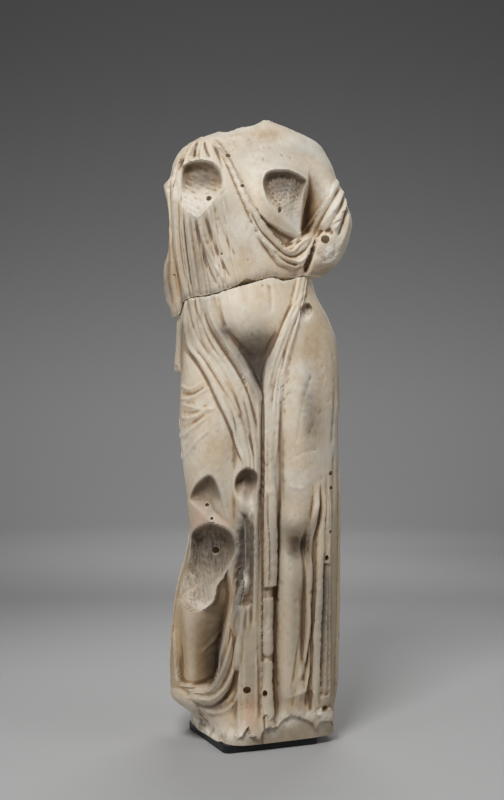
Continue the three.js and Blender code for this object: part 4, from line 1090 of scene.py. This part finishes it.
class Finish:
    # a node material with short ways to add noise, ramps, sums, layers and bumps on Object coordinates

    def __init__(self, name):
        self.material = bpy.data.materials.new(name)
        self.material.use_nodes = True
        self.nodes = self.material.node_tree.nodes
        self.links = self.material.node_tree.links
        self.shader = self.nodes["Principled BSDF"]
        self.place = self.nodes.new("ShaderNodeTexCoord").outputs["Object"]

    def put(self, value, socket):
        # a number or a colour is set on the socket, anything else is linked to it
        if isinstance(value, (int, float)):
            socket.default_value = value
        elif isinstance(value, tuple):
            socket.default_value = (*value, 1)
        else:
            self.links.new(value, socket)

    def moved(self, scale, rotation=(0, 0, 0)):
        node = self.nodes.new("ShaderNodeMapping")
        node.inputs["Scale"].default_value = scale
        node.inputs["Rotation"].default_value = rotation
        self.links.new(self.place, node.inputs["Vector"])
        return node.outputs["Vector"]

    def noise(self, scale, detail, roughness=0.55, source=None):
        node = self.nodes.new("ShaderNodeTexNoise")
        node.inputs["Scale"].default_value = scale
        node.inputs["Detail"].default_value = detail
        node.inputs["Roughness"].default_value = roughness
        self.links.new(source or self.place, node.inputs["Vector"])
        return node.outputs["Fac"]

    def cells(self, scale, source=None):
        node = self.nodes.new("ShaderNodeTexVoronoi")
        node.inputs["Scale"].default_value = scale
        self.links.new(source or self.place, node.inputs["Vector"])
        return node.outputs["Distance"]

    def ramp(self, value, start, end, low=0.0, high=1.0, kind="SMOOTHSTEP"):
        # low at start, high at end
        node = self.nodes.new("ShaderNodeMapRange")
        node.interpolation_type = kind
        for key, number in (("From Min", start), ("From Max", end), ("To Min", low), ("To Max", high)):
            node.inputs[key].default_value = number
        self.links.new(value, node.inputs["Value"])
        return node.outputs["Result"]

    def combine(self, operation, a, b, clamp=True):
        node = self.nodes.new("ShaderNodeMath")
        node.operation = operation
        node.use_clamp = clamp
        self.put(a, node.inputs[0])
        self.put(b, node.inputs[1])
        return node.outputs["Value"]

    def times(self, a, b):
        return self.combine("MULTIPLY", a, b)

    def plus(self, a, b):
        return self.combine("ADD", a, b)

    def layer(self, below, colour, mask):
        # the colour over what is below, as far as the mask lets it through
        node = self.nodes.new("ShaderNodeMix")
        node.data_type = "RGBA"
        self.put(mask, node.inputs["Factor"])
        self.put(below, node.inputs["A"])
        self.put(colour, node.inputs["B"])
        return node.outputs["Result"]

    def attribute(self, key):
        node = self.nodes.new("ShaderNodeAttribute")
        node.attribute_name = key
        return node.outputs["Fac"]

    def height(self):
        node = self.nodes.new("ShaderNodeSeparateXYZ")
        self.links.new(self.place, node.inputs["Vector"])
        return node.outputs["Z"]

    def bump(self, height, strength, distance, under=None):
        node = self.nodes.new("ShaderNodeBump")
        node.inputs["Strength"].default_value = strength
        node.inputs["Distance"].default_value = distance
        self.links.new(height, node.inputs["Height"])
        if under:
            self.links.new(under, node.inputs["Normal"])
        return node.outputs["Normal"]

    def use(self, **outputs):
        # what the shader takes its colour, roughness and normal from
        inputNames = {"colour": "Base Color", "roughness": "Roughness", "normal": "Normal"}
        for key, value in outputs.items():
            self.put(value, self.shader.inputs[inputNames[key]])
        return self.material


# the grey, dark, brown and drilled colours also paint shade; pale and lightCream also paint light on lit tops
# and socket bottoms
marbleLook = {
    "cream": (0.70, 0.595, 0.452),
    "lightCream": (0.77, 0.72, 0.63),
    "tan": (0.45, 0.355, 0.238),
    "ochre": (0.44, 0.27, 0.115),
    "brown": (0.15, 0.085, 0.04),
    "grey": (0.17, 0.145, 0.115),
    "dark": (0.065, 0.05, 0.04),
    "pale": (0.82, 0.765, 0.67),
    "rose": (0.60, 0.36, 0.26),
    "drilled": (0.05, 0.03, 0.018),
    "roughness": 0.55,
}


def marble(name, fresh=False):
    # colour layers one over another, each let through by a mask: mottled cream, ochre patina, painted
    # shade in ochre and brown in creases and sockets, painted light on socket bottoms, grey and dark painted
    # shade in hollows, pale chips with painted highlights and rose bands; then grain and chisel strokes as
    # bump
    f = Finish(name)
    ramp, times, plus, noise = f.ramp, f.times, f.plus, f.noise
    look = marbleLook
    mottle = noise(9.0, 6.0)
    fine = noise(70.0, 5.0, 0.65)
    streak = noise(14.0, 5.0, 0.6, f.moved((1.0, 1.0, 0.25)))
    height = f.height()
    high = times(ramp(height, 1.08, 1.3), 0.4)
    low = times(ramp(height, 0.78, 0.3), 0.85)
    groove = f.attribute("groove")
    recess = f.attribute("recess")
    warm = times(ramp(streak, 0.40, 0.62), 0.3)
    blotches = ramp(plus(streak, times(fine, 0.3)), 0.45, 0.85)
    # the ochre spots: patina, with painted shade in the armpit and under the arm
    ochreAndShade = times(f.attribute("ochre"), plus(times(blotches, 0.75), 0.25))
    patches = plus(times(ramp(noise(30.0, 6.0, 0.7), 0.35, 0.65), 0.45), 0.5)
    layers = [
        ("lightCream", ramp(mottle, 0.42, 0.66)),
        ("lightCream", high),
        ("tan", times(low, ramp(mottle, 0.15, 0.5))),
        ("ochre", times(warm, ramp(fine, 0.35, 0.65))),
        ("ochre", times(ochreAndShade, 0.85)),
        # painted shade: ochre and brown in creases, where the surface lies behind its neighbours
        ("ochre", times(ramp(groove, 0.05, 0.42), 0.55)),
        ("brown", times(ramp(groove, 0.22, 0.75), 0.75)),
        # tan and brown inside the sockets, strongest at their tops: their own colour with painted shade
        ("tan", times(times(ramp(recess, 0.6, 0.95), 0.8), ramp(fine, 0.2, 0.7))),
        ("brown", times(ramp(recess, 0.8, 1.0), 0.5)),
        # painted light on the socket bottoms
        ("lightCream", times(f.attribute("bright"), 0.7)),
        # painted shade in grey, broken up by patches
        ("grey", times(times(f.attribute("grey"), patches), 0.85)),
        # painted shade in dark brown in the deepest hollows
        ("dark", times(f.attribute("dark"), plus(times(patches, 0.5), 0.45))),
        # paler on raised ridges; pale chips, with painted highlights on lit tops and socket bottoms
        ("pale", times(ramp(times(groove, -1.0), 0.12, 0.6), 0.2)),
        ("pale", times(f.attribute("pale"), ramp(noise(45.0, 5.0, 0.6), 0.36, 0.56))),
        ("rose", times(f.attribute("rose"), 0.7)),
        ("brown", times(ramp(noise(160.0, 3.0, 0.7), 0.66, 0.74), 0.15)),
    ]
    if fresh:
        layers.append(("ochre", ramp(mottle, 0.35, 0.65)))
    colour = look["cream"]
    for key, mask in layers:
        colour = f.layer(colour, look[key], mask)
    rough = ramp(fine, 0.0, 1.0, look["roughness"] - 0.1, look["roughness"] + 0.2, "LINEAR")
    grain = plus(times(fine, 0.6), times(ramp(f.cells(130.0), 0.0, 0.35), 0.4))
    grained = f.bump(grain, 0.9 if fresh else 0.35, 0.0016 if fresh else 0.0008)
    chiselStrokes = f.cells(190.0, f.moved((1.0, 1.0, 0.16), (0, math.radians(-32), 0)))
    cut = times(times(ramp(chiselStrokes, 0.1, 0.6), ramp(recess, 0.15, 0.4)), f.attribute("chisel"))
    return f.use(colour=colour, roughness=rough, normal=f.bump(cut, 0.8, 0.0036, grained))


plateLook = {
    "dark": (0.006, 0.007, 0.008),
    "worn": (0.014, 0.015, 0.017),
}


def plateMetal():
    # dark satin paint over metal, slightly worn, with a fine brushed bump
    f = Finish("plate_metal")
    wear = f.noise(22.0, 6.0, 0.5)
    f.shader.inputs["Specular IOR Level"].default_value = 0.25
    return f.use(colour=f.layer(plateLook["dark"], plateLook["worn"], wear),
                 roughness=f.ramp(wear, 0.0, 1.0, 0.3, 0.55, "LINEAR"),
                 normal=f.bump(f.noise(400.0, 2.0, 0.5), 0.15, 0.0003))


def holeShadeSurface():
    # one dark brown as painted shade, for the insides of drilled holes and the upper fragment's face at the
    # waist gap
    return Finish("marble_drilled").use(colour=marbleLook["drilled"], roughness=0.8)


# The statue

stone = marble("marble")
brokenStone = marble("marble_break", fresh=True)
holeShadeStone = holeShadeSurface()
for piece, node in ((makeLower(), "draped_lower_body"), (makeUpper(), "upper_torso")):
    piece.data.materials.clear()
    for material in (stone, brokenStone, holeShadeStone):
        piece.data.materials.append(material)
    piece.data.shade_smooth()
    piece.data.set_sharp_from_angle(angle=math.radians(50))
    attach(piece, "root")
    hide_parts(node)
    print(piece.name, "triangles:", len(piece.data.polygons))
plateFinish = plateMetal()
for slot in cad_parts["base_plate"].material_slots:
    slot.material = plateFinish
print("statue made")


# Floor, light and camera

studio = {
    # painted fall-off of light on the floor and up the wall
    "tones": [(0.7, 2.4, 0.46, 0.29), (7.2, 11.5, 1.0, 0.42)],
    "floorReach": 5.0,
    "turnRadius": 2.6,
    "wallHeight": 8.0,
    "world": (0.12, 0.12, 0.121),
    "statue": (0, 0, 0.75),
    "wallMiddle": (0, 7.4, 0.6),
    "top": (-0.9, -2.9, 3.7, 1.3, 130),
    "left": (-2.6, -1.6, 0.7, 1.2, 16),
    "right": (2.6, -1.1, 1.1, 1.2, 14),
    "back": (0.4, 2.6, 2.2, 2.0, 40),
    "backdrop": (0, 3.4, 2.6, 2.0, 84),
}


def studioGrey():
    # grey paper with a painted fall-off of light: tone by distance from the middle plus height, paler close
    # to the statue, darker up the wall
    f = Finish("studio_grey")
    level = f.nodes.new("ShaderNodeVectorMath")
    level.operation = "MULTIPLY"
    f.links.new(f.place, level.inputs[0])
    level.inputs[1].default_value = (1, 1, 0)
    away = f.nodes.new("ShaderNodeVectorMath")
    away.operation = "LENGTH"
    f.links.new(level.outputs["Vector"], away.inputs[0])
    along = f.combine("ADD", away.outputs["Value"], f.height(), False)
    tones = [f.ramp(along, *tone) for tone in studio["tones"]]
    return f.use(colour=f.combine("MULTIPLY", *tones, False), roughness=0.85)


def makeFloor():
    # a round floor that turns up on every side: a flat disc, a quarter circle and a straight wall
    arc = np.linspace(0, math.pi / 2, 20)
    radius = studio["turnRadius"]
    out = np.concatenate([[1.0], studio["floorReach"] + radius * np.sin(arc),
                          [studio["floorReach"] + radius]])
    height = np.concatenate([[0.0], radius * (1 - np.cos(arc)), [studio["wallHeight"]]])
    sides, rings = 96, len(out)
    turn = np.arange(sides) * 2 * math.pi / sides
    points = np.stack([out[:, None] * np.cos(turn), out[:, None] * np.sin(turn),
                       height[:, None] + 0 * turn], -1)
    points = points.reshape(-1, 3)
    i, j = np.meshgrid(np.arange(rings - 1), np.arange(sides), indexing="ij")
    k = (j + 1) % sides
    around = np.stack([i * sides + j, (i + 1) * sides + j,
                       (i + 1) * sides + k, i * sides + k], -1).reshape(-1, 4)
    mesh = bpy.data.meshes.new("studio_floor")
    mesh.from_pydata(points.tolist(), [], [list(range(sides))] + around.tolist())
    mesh.shade_smooth()
    mesh.materials.append(studioGrey())
    floor = bpy.data.objects.new("studio_floor", mesh)
    bpy.context.scene.collection.objects.link(floor)


def addLight(name, x, y, z, size, power, aim):
    # a square soft lamp that the camera doesn't see, turned toward its aim
    light = bpy.data.lights.new(name, "AREA")
    light.size = size
    light.energy = power
    lamp = bpy.data.objects.new(name, light)
    lamp.visible_camera = False
    lamp.location = (x, y, z)
    lamp.rotation_euler = (Vector(aim) - Vector((x, y, z))).to_track_quat("-Z", "Y").to_euler()
    bpy.context.scene.collection.objects.link(lamp)


def makeCamera():
    # level camera in front; the lens in mm is the focal length in pixels over the picture's long side
    lens = bpy.data.cameras.new("camera")
    lens.sensor_fit = "AUTO"
    lens.sensor_width = viewer["sensor"]
    lens.lens = viewer["focalPixels"] / viewer["pictureTall"] * viewer["sensor"]
    camera = bpy.data.objects.new("camera", lens)
    camera.location = (0, -viewer["distance"], viewer["height"])
    camera.rotation_euler = (math.pi / 2, 0, 0)
    bpy.context.scene.collection.objects.link(camera)
    bpy.context.scene.camera = camera


makeFloor()
for name in ("top", "left", "right", "back", "backdrop"):
    addLight("light_" + name, *studio[name], studio["wallMiddle" if name == "backdrop" else "statue"])
makeCamera()
world = bpy.data.worlds.new("studio")
world.use_nodes = True
world.node_tree.nodes["Background"].inputs["Color"].default_value = (*studio["world"], 1)
bpy.context.scene.world = world
bpy.context.scene.view_settings.view_transform = "Standard"
print("studio made")
